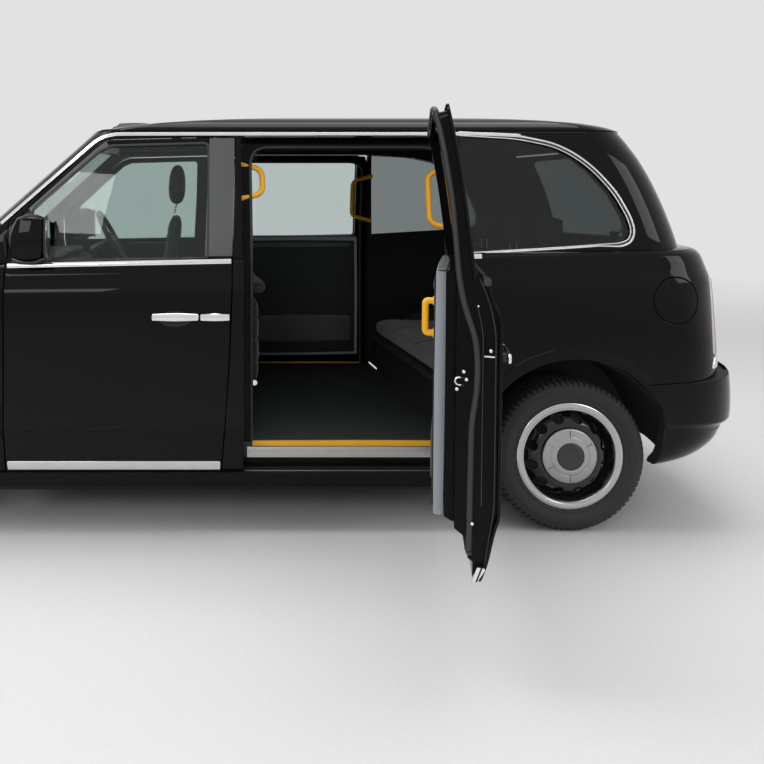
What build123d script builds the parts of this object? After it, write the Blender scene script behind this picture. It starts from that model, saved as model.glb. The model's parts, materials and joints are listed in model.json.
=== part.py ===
from build123d import *
import math
import os

# Purpose-built city taxi cab, right-hand drive, with its left rear door standing open.
# Origin: on the ground, on the centre line, midway between the axles.
# +X runs to the rear, +Y to the right-hand side of the cab, +Z up. All sizes in mm.

HALF_W = 937.0          # half the body width at the door skins
AXLE_X = 1492.5         # each axle's distance from the origin
TYRE_R = 334.0
WHEEL_Y = HALF_W - 142.0    # middle of the tyre's tread
ARCH_R = 442.0          # wheel arch edge in the panels
DOOR_T = 122.0          # thickness of a door below its window
CABIN_W = HALF_W - DOOR_T   # half the cabin's width between the doors
FRAME_T = 55.0          # thickness of pillars and window frames
FLOOR_Z = 370.0         # top of the passenger floor
FLOOR_LOW = 300.0       # its underside
DECK_Z = 570.0          # top of the rear deck over the axle
GAP = 5.0               # shut gap round doors and lids
SKIN_T = 15.0           # outer flange of a door
FLANGE = 18.0           # how far a door's inner box stands back from that flange
REAR_TRIM_T = 75.0      # padded trim on the inside of the rear doors
FRONT_TRIM_T = 25.0     # and of the front doors
OUTSIDE = HALF_W + 163.0    # a cutter's reach past the body's side
ROOF_Z = 1786.0         # joint between roof panel and body sides
FRONT_SHUT = -1007.0    # front doors' leading edge
B_POST = (-12.0, 45.0)  # strip between the doors
REAR_SHUT = 1025.0      # rear doors' hinge edge
HINGE_IN = 12.0         # front door hinge axis inboard of the skin
REAR_HINGE_IN = 5.0     # rear door hinge axis inboard of the skin, 700 mm up
HINGE_OUT = 30.0        # door hinge axis beyond the shut line
DOOR_OPEN = 71.7        # how far the left rear door stands open
HINGE_LEAN = 0.02       # rear hinges lean inwards by this much per mm up, so the door lifts as it opens
KINGPIN_Y = WHEEL_Y - 55.0
SEAT_Y = 390.0          # driver's seat and steering wheel
TOW_Y, TOW_R = 330.0, 8.0           # towing-eye sockets
PLATE_PITCH, PLATE_R = 280.0, 3.0   # number-plate screw holes

PARTS = {}


def keep(name, shape):
    PARTS[name] = shape


def box(x0, x1, y0, y1, z0, z1):
    return Pos((x0 + x1) / 2, (y0 + y1) / 2, (z0 + z1) / 2) * Box(x1 - x0, y1 - y0, z1 - z0)


def both(shape):
    """A left-hand shape together with its mirror image."""
    return Compound(children=[s for s in list(shape.solids()) + list(mirror(shape, Plane.XZ).solids())])


def side_prism(points, y0=-OUTSIDE, y1=-300.0):
    """Prism over a side-view outline of (x, z) points."""
    wire = Polyline(*[(x, y0, z) for x, z in points], close=True)
    return extrude(Face(Wire(wire.edges())), amount=y1 - y0, dir=(0, 1, 0))


def end_prism(points, x0, x1):
    """Prism over an end-view outline of (y, z) points."""
    wire = Polyline(*[(x0, y, z) for y, z in points], close=True)
    return extrude(Face(Wire(wire.edges())), amount=x1 - x0, dir=(1, 0, 0))


def plan_prism(points, z0, z1):
    wire = Polyline(*[(x, y, z0) for x, y in points], close=True)
    return extrude(Face(Wire(wire.edges())), amount=z1 - z0, dir=(0, 0, 1))


def grow(points, by):
    """Offset a convex or mildly concave side-view outline outwards."""
    n = len(points)
    ends = [(points[i], points[(i + 1) % n]) for i in range(n)]
    area = sum(a[0] * b[1] - b[0] * a[1] for a, b in ends)
    turn = 1.0 if area > 0 else -1.0
    out = []
    for i in range(n):
        (ax, az), (bx, bz), (cx, cz) = points[i - 1], points[i], points[(i + 1) % n]
        u, v = (bx - ax, bz - az), (cx - bx, cz - bz)
        lu, lv = math.hypot(*u), math.hypot(*v)
        n1 = (turn * u[1] / lu, -turn * u[0] / lu)
        n2 = (turn * v[1] / lv, -turn * v[0] / lv)
        k = by / (1 + n1[0] * n2[0] + n1[1] * n2[1])
        out.append((bx + k * (n1[0] + n2[0]), bz + k * (n1[1] + n2[1])))
    return out


def cyl_y(x, z, r, y0, y1):
    return Pos(x, (y0 + y1) / 2, z) * Rot(90, 0, 0) * Cylinder(r, abs(y1 - y0))


def cyl_x(y, z, r, x0, x1):
    return Pos((x0 + x1) / 2, y, z) * Rot(0, 90, 0) * Cylinder(r, abs(x1 - x0))


def cyl_z(x, y, r, z0, z1):
    return Pos(x, y, (z0 + z1) / 2) * Cylinder(r, z1 - z0)


def outline(level, x_ref, front, rear, inset):
    """Closed plan outline with bowed ends, rounded corners and straight sides."""
    z, w, xf, xr, slope = level
    w, xf, xr = w - inset, xf + 1.25 * inset, xr - 1.1 * inset
    points = {}
    for sgn, end, (bow, r) in ((-1, xf, front), (1, xr, rear)):
        r = min(max(r - inset, 40.0), w - 20.0)
        cx0 = end - sgn * bow
        cx = cx0 + sgn * math.sqrt((bow - r) ** 2 - (w - r) ** 2)
        u = ((cx - cx0) / (bow - r), (w - r) / (bow - r))
        m = (u[0], u[1] + 1)
        k = r / math.hypot(*m)
        points[sgn] = [(end, 0), (cx0 + bow * u[0], bow * u[1]), (cx + k * m[0], w - r + k * m[1]), (cx, w)]

    def at(p, side=1):
        return (p[0], side * p[1], z + (p[0] - x_ref) * slope)

    f, b = points[-1], points[1]
    edges = [
        ThreePointArc(at(b[1], -1), at(b[0]), at(b[1])),
        ThreePointArc(at(b[1]), at(b[2]), at(b[3])),
        Line(at(b[3]), at(f[3])),
        ThreePointArc(at(f[3]), at(f[2]), at(f[1])),
        ThreePointArc(at(f[1]), at(f[0]), at(f[1], -1)),
        ThreePointArc(at(f[1], -1), at(f[2], -1), at(f[3], -1)),
        Line(at(f[3], -1), at(b[3], -1)),
        ThreePointArc(at(b[3], -1), at(b[2], -1), at(b[1], -1)),
    ]
    return Wire([e.edge() for e in edges])


def stack(levels, x_ref=0.0, front=(1900, 380), rear=(1900, 300), inset=0.0, drop=0.0, ruled=True):
    """Solid through plan outlines stacked upwards."""
    wires = [outline((z - drop, *rest), x_ref, front, rear, inset) for z, *rest in levels]
    return Solid.make_loft(wires, ruled)


# Levels: height, half width, front end, rear end, rise per mm of X.
LOWER = [
    (255, HALF_W - 60, -2350, 2330, 0), (320, HALF_W - 37, -2368, 2350, 0),
    (436, HALF_W - 12, -2384, 2375, 0), (480, HALF_W, -2390, 2392, 0), (1066, HALF_W, -2385, 2362, 0.012),
    (1139, HALF_W - 24, -2370, 2340, 0.016), (1190, HALF_W - 40, -2350, 2315, 0.02),
    (1206, HALF_W - 51, -2335, 2290, 0.02), (1211, HALF_W - 69, -2320, 2255, 0.02),
]
NOSE = [
    (255, HALF_W - 60, -2340, 2330, 0), (320, HALF_W - 37, -2362, 2350, 0),
    (436, HALF_W - 12, -2384, 2375, 0), (480, HALF_W, -2390, 2392, 0), (1054, HALF_W, -2388, 2362, 0.142),
    (1123, HALF_W - 24, -2368, 2340, 0.15), (1170, HALF_W - 40, -2350, 2315, 0.165),
    (1186, HALF_W - 51, -2335, 2290, 0.17), (1196, HALF_W - 117, -2280, 2200, 0.172),
    (1215, HALF_W - 337, -2150, 2000, 0.175), (1222, HALF_W - 637, -1900, 1800, 0.176),
]
GREEN = [
    (1100, HALF_W - 62, -1507, 2265, 0), (1301, HALF_W - 88, -1277, 2212, 0),
    (1525, HALF_W - 119, -1021, 2128, 0), (1662, HALF_W - 144, -864, 2057, 0),
    (ROOF_Z, HALF_W - 171, -722, 1968, 0),
]
ROOF = [
    (ROOF_Z + GAP, HALF_W - 172, -716, 1972, 0), (1812, HALF_W - 185, -600, 1915, 0),
    (1832, HALF_W - 209, -430, 1800, 0), (1848, HALF_W - 247, -180, 1600, 0),
    (1860, HALF_W - 317, 100, 1350, 0), (1868, HALF_W - 487, 350, 1100, 0),
]
SCREEN = (2500, 130)    # windscreen bow radius, A-post corner radius
TAIL = (1900, 250)


def lower(inset=0.0):
    return stack(LOWER, 0.0, inset=inset)


def nose(inset=0.0, drop=0.0):
    return stack(NOSE, FRONT_SHUT, inset=inset, drop=drop)


def green(inset=0.0):
    return stack(GREEN, 0.0, SCREEN, TAIL, inset, ruled=False)


# Outer body, its flange layer and the cabin inside it.
ahead = box(-2700, FRONT_SHUT - 2.5, -1200, 1200, 0, 2000)
outer = (lower() - ahead) + green()
flange_core = (lower(SKIN_T) - ahead) + green(SKIN_T)
cabin_low = stack([(150, HALF_W - DOOR_T, -1110, 2290, 0), (1195, HALF_W - DOOR_T, -1110, 2265, 0)],
                  front=(9000, 60), rear=(1900, 220))
cabin = cabin_low + green(FRAME_T)
shell = outer - cabin
skin = outer - flange_core
front_outer = nose() & ahead

# Side-view outlines, (x, z).
FRONT_DOOR = [
    (FRONT_SHUT + 2.5, 268), (-55, 268), (-22, 762), (-6, 1180), (17, 1757), (-560, 1743),
    (-612, 1722), (FRONT_SHUT + 2.5, 1380),
]
REAR_DOOR = [(B_POST[1] + 5, 268), (REAR_SHUT - 5, 268), (REAR_SHUT - 5, 1758), (B_POST[1] + 5, 1758)]
FRONT_GLASS = [(-900, 1196), (-112, 1210), (-104, 1728), (-545, 1716), (-600, 1692), (-900, 1425)]
REAR_GLASS = [(112, 1214), (955, 1230), (955, 1728), (112, 1731)]
QUARTER_GLASS = [
    (1068, 1236), (1508, 1262), (1740, 1279), (1775, 1294), (1788, 1330), (1775, 1388), (1723, 1496),
    (1638, 1600), (1560, 1665), (1470, 1712), (1309, 1746), (1045, 1762),
]
SCREEN_CUT = [(-705, 1172), (705, 1172), (628, 1757), (-628, 1757)]
GATE = [(-600, 735), (600, 735), (600, 1240), (545, 1735), (-545, 1735), (-600, 1240)]
GATE_GLASS = [(-505, 1262), (505, 1262), (455, 1690), (380, 1712), (-380, 1712), (-455, 1690)]
BUMPER_R = [(AXLE_X + 305.5, 655), (AXLE_X + 373.5, 572), (AXLE_X + 392.5, 480), (AXLE_X + 392.5, 284),
            (2500, 284), (2500, 706)]
FLAP = (1935.0, 1029.0, 99.0)   # charge flap: x, z, radius
LAMP_Y = HALF_W - 297.0     # inner edge of the tail lamps


# Doors: an outer flange as large as the opening and a box that stands back from it.
def door(points, window, trim):
    panel = (shell & side_prism(grow(points, -FLANGE))) + (skin & side_prism(points))
    return panel - side_prism(window) + trim


# Inner trim of a door, from just inside the door's box to its rounded face.
def door_trim(x0, x1, z0, z1, thick):
    face = -(HALF_W - DOOR_T)
    block = box(x0, x1, face - 1, face + thick, z0, z1)
    return fillet(block.edges().group_by(Axis.Y)[-1], min(18.0, 0.45 * thick))


def solid_of(shape):
    return max(shape.solids(), key=lambda s: s.volume)


front_door = solid_of(door(FRONT_DOOR, FRONT_GLASS, door_trim(-770, -90, 480, 1180, FRONT_TRIM_T)))
rear_door = solid_of(door(REAR_DOOR, REAR_GLASS, door_trim(130, 985, 483, 1291, REAR_TRIM_T)))
glass_layer = green(8.0) - green(13.0)
front_glass = solid_of(glass_layer & side_prism(grow(FRONT_GLASS, -0.3)))
rear_glass = solid_of(glass_layer & side_prism(grow(REAR_GLASS, -0.3)))
quarter_glass = solid_of(glass_layer & side_prism(grow(QUARTER_GLASS, -0.3)))
windscreen = solid_of(glass_layer & end_prism(grow(SCREEN_CUT, -0.3), -1700, -300))
rear_window = solid_of(glass_layer & end_prism(grow(GATE_GLASS, -0.3), 1600, 2400))

# Handles: an outer grip on the skin and an inner pull on the trim.
def handles(x0, x1, z, pull_x, pull_z, trim_t):
    y = -HALF_W - 0.3
    grip = box(x0, x1, y - 30, y - 16, z - 19, z + 19)
    feet = box(x0, x0 + 40, y - 17, y, z - 15, z + 15) + box(x1 - 60, x1, y - 17, y, z - 15, z + 15)
    face = -(HALF_W - DOOR_T) + trim_t + 0.3
    pull = box(pull_x - 14, pull_x + 14, face + 18, face + 36, pull_z, pull_z + 130)
    for end in (pull_z, pull_z + 104):
        pull += box(pull_x - 14, pull_x + 14, face, face + 19, end, end + 26)
    return Compound(children=[solid_of(grip + feet), solid_of(pull)])


front_handles = handles(-361, -40, 955, -180, 940, FRONT_TRIM_T)
rear_handles = handles(75, 390, 955, 170, 1000, REAR_TRIM_T)

# Door mirror: a rounded case on a short arm from the window corner.
case = fillet(box(-966, -800, -HALF_W - 81, -HALF_W + 44, 1205, 1410).edges(), 28)
arm = box(-975, -905, -HALF_W + 32, -HALF_W + 137, 1216, 1262)
mirror_left = solid_of(case + arm) - lower(-0.3) - green(-0.3)
mirror_left = solid_of(mirror_left)

front_axis = Axis((FRONT_SHUT - HINGE_OUT, -HALF_W + HINGE_IN, 0), (0, 0, 1))
rear_axis = Axis((REAR_SHUT + HINGE_OUT, -HALF_W + REAR_HINGE_IN, 700), (0, HINGE_LEAN, 1))
for side, flip in (("left", False), ("right", True)):
    front = {"door": front_door, "glass": front_glass, "handles": front_handles, "mirror": mirror_left}
    rear = {"door": rear_door, "glass": rear_glass, "handles": rear_handles}
    for word, shape in front.items():
        keep(f"front_{side}_{word}", mirror(shape, Plane.XZ) if flip else shape)
    for word, shape in rear.items():
        keep(f"rear_{side}_{word}", mirror(shape, Plane.XZ) if flip else shape.rotate(rear_axis, DOOR_OPEN))

# Body shell: pillars, cant rails, quarter panels and sills in one.
body = shell - both(side_prism(grow(FRONT_DOOR, GAP))) - both(side_prism(grow(REAR_DOOR, GAP)))
body -= both(side_prism(QUARTER_GLASS))
body -= end_prism(SCREEN_CUT, -1700, -300)
body -= end_prism(grow(GATE, GAP), 1700, 2600)
body -= both(side_prism(grow(BUMPER_R, GAP), -OUTSIDE, -200))
body -= box(1868, 2600, -LAMP_Y, LAMP_Y, 150, 712)
body -= front_outer
body -= cyl_y(AXLE_X, TYRE_R, ARCH_R, -OUTSIDE, OUTSIDE)
body -= cyl_y(-AXLE_X, TYRE_R, ARCH_R, -OUTSIDE, OUTSIDE)
flap_x, flap_z, flap_r = FLAP
flap_cut = cyl_y(flap_x, flap_z, flap_r + 4, -OUTSIDE, -HALF_W + 237) - lower(40)
body -= flap_cut
LAMP_Z = (775, 1120)
lamp_cut = box(2150, 2600, -OUTSIDE, -LAMP_Y, *LAMP_Z) - lower(45)
body -= both(lamp_cut)
sill = side_prism([(-1050, 183), (1050, 183), (1050, 262), (-1050, 262)], -HALF_W + 40, -CABIN_W + 53)
sill = chamfer(sill.edges().filter_by(Axis.X).sort_by(Axis.Z)[:2], 18)
sill_inner = box(-1050, 1050, -CABIN_W + 9, -CABIN_W + 53, 200, FLOOR_LOW - 2)
body += both(sill + sill_inner)
body -= cyl_y(AXLE_X, TYRE_R, ARCH_R, -OUTSIDE, OUTSIDE) + cyl_y(-AXLE_X, TYRE_R, ARCH_R, -OUTSIDE, OUTSIDE)
keep("body_shell", solid_of(body))

keep("quarter_windows", both(quarter_glass))
keep("windscreen", windscreen)

# Charge flap on the left quarter panel, with a gooseneck behind it.
flap = solid_of((lower() - lower(10)) & cyl_y(flap_x, flap_z, flap_r, -OUTSIDE, -HALF_W + 237))
keep("charge_flap", flap)

# Roof panel, hollow under its skin, and the blank sign pod at its front.
roof_inner = stack([(z - 24, max(w - 40, 120), xf + 60, xr - 60, s) for z, w, xf, xr, s in ROOF],
                   0.0, SCREEN, TAIL, ruled=False)
roof = stack(ROOF, 0.0, SCREEN, TAIL, ruled=False)
seat_ring = stack([(ROOF_Z + 0.3, *ROOF[0][1:]), (ROOF_Z + 12, *ROOF[0][1:])], 0.0, SCREEN, TAIL, 12)
seat_ring -= stack([(ROOF_Z - 1, *ROOF[0][1:]), (ROOF_Z + 14, *ROOF[0][1:])], 0.0, SCREEN, TAIL, 39)
keep("roof_panel", solid_of((roof - roof_inner) + seat_ring))
pod = loft([Pos(-500, 0, 1815) * Rectangle(250, 520), Pos(-470, 0, 1888) * Rectangle(180, 440)])
pod = fillet(pod.edges().filter_by(lambda e: abs(e.center().Z - 1851.5) < 1), 60)
keep("roof_sign", solid_of(pod - stack([(z + 0.3, *r) for z, *r in ROOF], 0.0, SCREEN, TAIL, ruled=False)))

# Nose: wings, bonnet, bumper and lamps cut from one shell.
nose_inner = nose(60.0, 45.0)
nose_shell = front_outer - nose_inner
nose_shell -= cyl_y(-AXLE_X, TYRE_R, ARCH_R, -OUTSIDE, OUTSIDE)
BONNET = [(-2500, -545), (-1460, -690), (-1460, 690), (-2500, 545)]
NOSE_SEAM = 640.0
bonnet_cut = plan_prism(BONNET, 925, 1400)
bonnet_full = solid_of((front_outer - nose(30.0, 30.0)) & plan_prism(
    [(-2500, -545 + GAP), (-1465, -690 + GAP), (-1465, 690 - GAP), (-2500, 545 - GAP)], 930, 1400))
keep("bonnet", bonnet_full)
grille_cut = box(-2600, -2200, -450, 450, NOSE_SEAM, 925)
cowl_zone = box(-1460, -1000, -690, 690, 900, 1400)
HEAD = (645.0, 815.0, 118.0)
head_cut = both(cyl_x(-HEAD[0], HEAD[1], HEAD[2] + 0.3, -2600, -2000))
wings = nose_shell - bonnet_cut - grille_cut - cowl_zone - head_cut
wings -= box(-2600, -1480, -OUTSIDE, OUTSIDE, 0, NOSE_SEAM) + box(-1060, -1000, -OUTSIDE, OUTSIDE, 200, 262.3)
keep("front_wings", Compound(children=[s for s in wings.solids() if s.volume > 1e5]))
bumper = nose_shell & box(-2600, -1480, -OUTSIDE, OUTSIDE, 200, NOSE_SEAM - GAP)
bumper -= box(-2600, -2000, -380, 380, 330, 480)
bumper -= cyl_x(TOW_Y, 560, TOW_R, -2420, -2300)
for y in (-PLATE_PITCH / 2, PLATE_PITCH / 2):
    bumper -= cyl_x(y, 560, PLATE_R, -2420, -2340)
keep("front_bumper", Compound(children=[s for s in bumper.solids() if s.volume > 1e5]))
cowl = (nose_shell & box(-1455, -1016, -685, 685, 1000, 1400)) - green(-0.5)
keep("cowl_panel", solid_of(cowl))
heads = solid_of(nose(4.0, 0.0) & cyl_x(-HEAD[0], HEAD[1], HEAD[2], -2600, -2190))
keep("headlamps", both(heads))
grille = (nose(6.0) - nose(30.0)) & box(-2600, -2200, -449.7, 449.7, NOSE_SEAM - GAP + 0.3, 922)
slots = Compound(children=[box(-2600, -2100, y - 13, y + 13, NOSE_SEAM + 40, 890)
                           for y in range(-400, 401, 50)])
keep("grille", solid_of(grille - slots))

BOOT_W = HALF_W - 343.0     # half the width between the rear wheel houses


# Wheel-house liners; the rear ones close the cabin off, the front ones stay open for steering.
def liner(x, y0, y1, z0):
    return (cyl_y(x, TYRE_R, ARCH_R - 0.3, y0, y1) - cyl_y(x, TYRE_R, ARCH_R - 5, y0 - 1, y1 + 1)
            ) & box(x - 600, x + 600, y0, y1, z0, 900)


front_liner = liner(-AXLE_X, -HALF_W + 67, -425, 360)
rear_liner = liner(AXLE_X, -HALF_W + 50.3, -BOOT_W - 12, 375)
rear_liner -= box(AXLE_X + 380, AXLE_X + 455, -HALF_W + 30, -HALF_W + 81.8, 370, 485)    # seats on the bumper
rear_wall = (cyl_y(AXLE_X, TYRE_R, ARCH_R - 0.3, -BOOT_W - 12, -BOOT_W - 6)
             & box(AXLE_X - 492.5, AXLE_X + 507.5, -BOOT_W - 12, -BOOT_W - 6, 420, 900))
keep("wheel_liners", Compound(children=[s for p in (front_liner, rear_liner + rear_wall)
                                        for s in both(p).solids()]))

# Rear bumper, wrapped round both corners.
RB = [
    (284, HALF_W - 75, -2000, 2232, 0), (306, HALF_W - 57, -2000, 2290, 0),
    (344, HALF_W - 34, -2000, 2345, 0), (400, HALF_W - 15, -2000, 2394, 0),
    (468, HALF_W - 7, -2000, 2428, 0), (488, HALF_W + 3, -2000, 2452, 0),
    (560, HALF_W + 4, -2000, 2457, 0), (680, HALF_W + 3, -2000, 2452, 0),
    (706, HALF_W - 5, -2000, 2436, 0),
]
rb_inner = [(z, w, a, b - (70 if z < 420 else 58), s) for z, w, a, b, s in RB]
rb_inner = [(200, *rb_inner[0][1:])] + rb_inner[1:-1] + [(760, *rb_inner[-1][1:])]
rb = stack(RB, rear=(1900, 350)) - stack(rb_inner, rear=(1900, 350), inset=45)
rb = (rb & side_prism(BUMPER_R, -OUTSIDE, OUTSIDE)) - cyl_x(TOW_Y, 540, TOW_R, 2300, 2500)
keep("rear_bumper", solid_of(rb))

# Tail lamps wrap the rear corners.
lamps = solid_of((lower(1.0) - lower(44.5))
                 & box(2153, 2600, -OUTSIDE, -LAMP_Y - 3, LAMP_Z[0] + 3, LAMP_Z[1] - 3))
keep("tail_lamps", both(lamps))

# Tailgate with its window.
gate = (shell & end_prism(grow(GATE, -FLANGE), 1750, 2600)) + (skin & end_prism(GATE, 1750, 2600))
for y in (-PLATE_PITCH / 2, PLATE_PITCH / 2):
    gate -= cyl_x(y, 905, PLATE_R, 2340, 2420)
gate = solid_of(gate - end_prism(GATE_GLASS, 1600, 2600))
keep("tailgate", gate)
keep("rear_window", rear_window)

# Floor with a rear deck over the axle, a firewall and a boot wall.
floor_w = CABIN_W - 10
floor = box(-1150, 1045, -CABIN_W + 53.5, CABIN_W - 53.5, FLOOR_LOW, FLOOR_Z)
floor += box(-1105, 1045, -floor_w, floor_w, FLOOR_LOW, FLOOR_Z)
floor += box(1045, 2230, -BOOT_W, BOOT_W, DECK_Z - 30, DECK_Z)
floor += box(1045, 1075, -BOOT_W, BOOT_W, FLOOR_LOW, DECK_Z)
floor += box(2205, 2230, -BOOT_W, BOOT_W, DECK_Z - 30, 700)
floor += box(-1135, -1105, -floor_w, floor_w, FLOOR_LOW, 1120)
floor -= both(cyl_y(-AXLE_X, TYRE_R, ARCH_R + 6, -OUTSIDE, -424))
rails = (box(-2400, -1120, -415, -345, 525, 600) & nose(60.3, 45.3)) - cyl_y(-AXLE_X, TYRE_R, 120, -420, -340)
keep("floor_pan", solid_of(floor + both(rails)))
keep("drive_battery", box(-760, 900, -560, 560, 190, FLOOR_LOW - 0.3))
keep("engine_block", box(-1980, -1480, -330, 330, 325.3, 900))

# Entry steps: a bright plate on the sill and a yellow nosing along the floor's edge.
steps = Compound(children=[box(70, 1000, -CABIN_W + 4, -floor_w - 0.3, FLOOR_LOW - 1.7, FLOOR_Z + 4)])
keep("door_steps", both(steps))

# Driver's place.
DASH = [(-1104.7, 860), (-900, 860), (-790, 960), (-800, 1090), (-930, 1150), (-1104.7, 1165)]
dash = side_prism(DASH, -CABIN_W + 15, CABIN_W - 15)
keep("dashboard", solid_of(dash & nose(60.3, 45.3)))
wheel_c = Vector(-640, SEAT_Y, 1225)
tilt = math.radians(28)
sw_plane = Plane(origin=wheel_c, x_dir=(0, 1, 0), z_dir=(math.cos(tilt), 0, math.sin(tilt)))
rim = sw_plane * Torus(182, 15)
hub = sw_plane * Pos(0, 0, -12) * Cylinder(52, 40)
spokes = sw_plane * (Pos(110, 0, 0) * Box(150, 34, 14) + Pos(-110, 0, 0) * Box(150, 34, 14)
                     + Pos(0, -110, 0) * Box(34, 150, 14))
column = sw_plane * Pos(0, 0, -87) * Cylinder(24, 120)
keep("steering_wheel", solid_of(rim + hub + spokes + column))


def seat(x, y, w, base_z, depth, lean_top, top_z):
    """Cushion with a leaning back: the outline is in the side view."""
    pts = [(x - depth, base_z), (x - depth, base_z + 120), (x - 70, base_z + 110), (x + lean_top - 60, top_z),
           (x + lean_top + 30, top_z), (x + 50, base_z + 60), (x + 40, base_z)]
    return side_prism(pts, y - w / 2, y + w / 2)


driver = seat(-330, SEAT_Y, 500, 600, 440, 105, 1400)
driver += box(-300, -190, SEAT_Y - 135, SEAT_Y + 135, 1425, 1690)
for y in (SEAT_Y - 55, SEAT_Y + 55):
    driver += box(-262, -238, y - 10, y + 10, 1390, 1430)
driver += box(-700, -320, SEAT_Y - 190, SEAT_Y + 190, FLOOR_Z + 0.3, 602)
keep("driver_seat", solid_of(driver))
keep("luggage_platform", box(-760, -20, -CABIN_W + 25, 60, FLOOR_Z + 0.3, FLOOR_Z + 60))

# Partition between driver and passengers.
PART_W = CABIN_W - 55   # half the partition's width at the floor
PART = [(-PART_W, FLOOR_Z + 0.3), (PART_W, FLOOR_Z + 0.3), (PART_W + 25, 1140), (-PART_W - 25, 1140)]
keep("partition", end_prism(PART, 70, 96))
keep("partition_window", end_prism(
    [(-HALF_W + 167, 1140.3), (HALF_W - 167, 1140.3), (HALF_W - 247, 1740), (-HALF_W + 247, 1740)], 79, 87))
tip = Compound(children=[s for y in (-480, 0, 480) for s in (
    box(96.3, 160, y - 195, y + 195, 560, 1000) + box(96.3, 200, y - 190, y + 190, 1000, 1080)).solids()])
keep("tip_up_seats", tip)
BENCH = [(1000, DECK_Z + 0.3), (1000, 715), (1500, 700), (1640, 1180), (1720, 1180), (1560, DECK_Z + 0.3)]
rear_bench = side_prism(BENCH, -BOOT_W + 4, BOOT_W - 4)
for y in (-390, 0, 390):
    rear_bench += box(1620, 1690, y - 120, y + 120, 1215, 1390) + box(1640, 1665, y - 40, y + 40, 1170, 1220)
keep("rear_bench", solid_of(rear_bench))
GRABS = [
    [(20, -HALF_W + 208, 1640), (150, -HALF_W + 225, 1612), (150, -HALF_W + 201, 1498),
     (20, -HALF_W + 179, 1470)],
    [(1052, -HALF_W + 205, 1625), (920, -HALF_W + 221, 1590), (920, -HALF_W + 185, 1360),
     (1052, -HALF_W + 160, 1326)],
]
grabs = []
for path in GRABS:
    route = FilletPolyline(*path, radius=45)
    grabs.append(sweep(Plane(origin=route @ 0, z_dir=route % 0) * Circle(13), path=route))
keep("grab_handles", Compound(children=[g for t in grabs for g in both(t).solids()]))


# Wheels: tyre, and a steel wheel with slotted disc, hub and brake disc.
def ring_y(profile):
    """Solid turned about the wheel's axle from (y, r) points, y = 0 on the tread's middle plane."""
    wire = Polyline(*[(0, y, r) for y, r in profile], close=True)
    return revolve(Face(Wire(wire.edges())), Axis.Y, 360)


TYRE_SIDE = [(83.6, 236.9), (93, 237.2), (104, TYRE_R - 72), (107.5, TYRE_R - 49), (104, TYRE_R - 22),
             (92, TYRE_R - 6), (78, TYRE_R - 0.7)]
TYRE = [(-79.6, 221.8)] + [(-y, r) for y, r in TYRE_SIDE] + [(0, TYRE_R)] + TYRE_SIDE[::-1] + [(79.6, 221.8)]
RIM = [(-92, 236.5), (-92, 218), (-60, 205), (-40, 190), (78, 196), (88, 214), (90, 236.5), (84, 236.5),
       (80, 221.5), (-80, 221.5), (-84, 236.5)]
tyre = ring_y(TYRE)
rim_ring = ring_y(RIM)
DISC = [(-34, 193), (-34, 180), (-58, 150), (-62, 125), (-50, 112), (-50, 26), (0, 26), (0, 55), (-42, 55),
        (-42, 104), (-52, 118), (-50, 150), (-26, 190)]
disc = ring_y(DISC)
slot = Pos(0, -50, 166) * Rot(90, 0, 0) * Cylinder(13, 80)
slots12 = Compound(children=[Rot(0, k * 30, 0) * slot for k in range(12)])
disc -= slots12
cap = ring_y([(-50.3, 0), (-50.3, 122), (-62, 122), (-70, 110), (-70, 58), (-74, 56), (-74, 0)])
brake = ring_y([(4, 26), (4, 60), (22, 60), (22, 145), (44, 145), (44, 50), (30, 50), (30, 26)])
wheel = solid_of(rim_ring + disc + ring_y([(-10, 26), (-10, 56), (32, 56), (32, 26)]) + brake)
cap_solid = solid_of(cap)
for end, x in (("front", -AXLE_X), ("rear", AXLE_X)):
    for side, sgn in (("left", 1), ("right", -1)):
        place = (lambda s: Pos(x, -WHEEL_Y, TYRE_R) * s if sgn == 1
                 else mirror(Pos(x, -WHEEL_Y, TYRE_R) * s, Plane.XZ))
        keep(f"{end}_{side}_tyre", place(tyre))
        keep(f"{end}_{side}_wheel", Compound(children=[solid_of(place(wheel)), solid_of(place(cap_solid))]))

# Front uprights turn about the kingpins; each carries a stub axle.
stub = cyl_y(-AXLE_X, TYRE_R, 25.7, -WHEEL_Y + -40, -KINGPIN_Y + 20)
pin = cyl_z(-AXLE_X, -KINGPIN_Y + 25, 28, TYRE_R - 98, TYRE_R + 106)
keep("front_left_upright", solid_of(stub + pin))
keep("front_right_upright", mirror(PARTS["front_left_upright"], Plane.XZ))

# Front suspension: lower and upper arms with spring legs on a crossmember.
arm_y = -KINGPIN_Y + 16
arm_lo = plan_prism([(-AXLE_X - 14, arm_y), (-AXLE_X + 14, arm_y), (-AXLE_X + 120, -430),
                     (-AXLE_X - 120, -430)], TYRE_R - 134, TYRE_R - 106)
arm_up = plan_prism([(-AXLE_X - 14, arm_y), (-AXLE_X + 14, arm_y), (-AXLE_X + 60, -430),
                     (-AXLE_X - 60, -430)], TYRE_R + 112, TYRE_R + 132)
cross = box(-AXLE_X - 130, -AXLE_X + 130, -430, 430, 190, 325)
tower = box(-AXLE_X - 60, -AXLE_X + 60, -430, -340, 325, 524.7)
legs = cyl_z(-AXLE_X, -KINGPIN_Y + 155, 26, TYRE_R - 106, TYRE_R + 112)
front_susp = cross + both(arm_lo) + both(arm_up) + both(tower) + both(legs)
keep("front_suspension", solid_of(front_susp))
stub_r = cyl_y(AXLE_X, TYRE_R, 25.7, -WHEEL_Y - 40, -600)
axle = cyl_y(AXLE_X, TYRE_R, 45, -690, 690)
motor = cyl_y(AXLE_X, TYRE_R, 130, -200, 200)
link = box(1100, AXLE_X, -560, -510, 300, 345)
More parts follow.
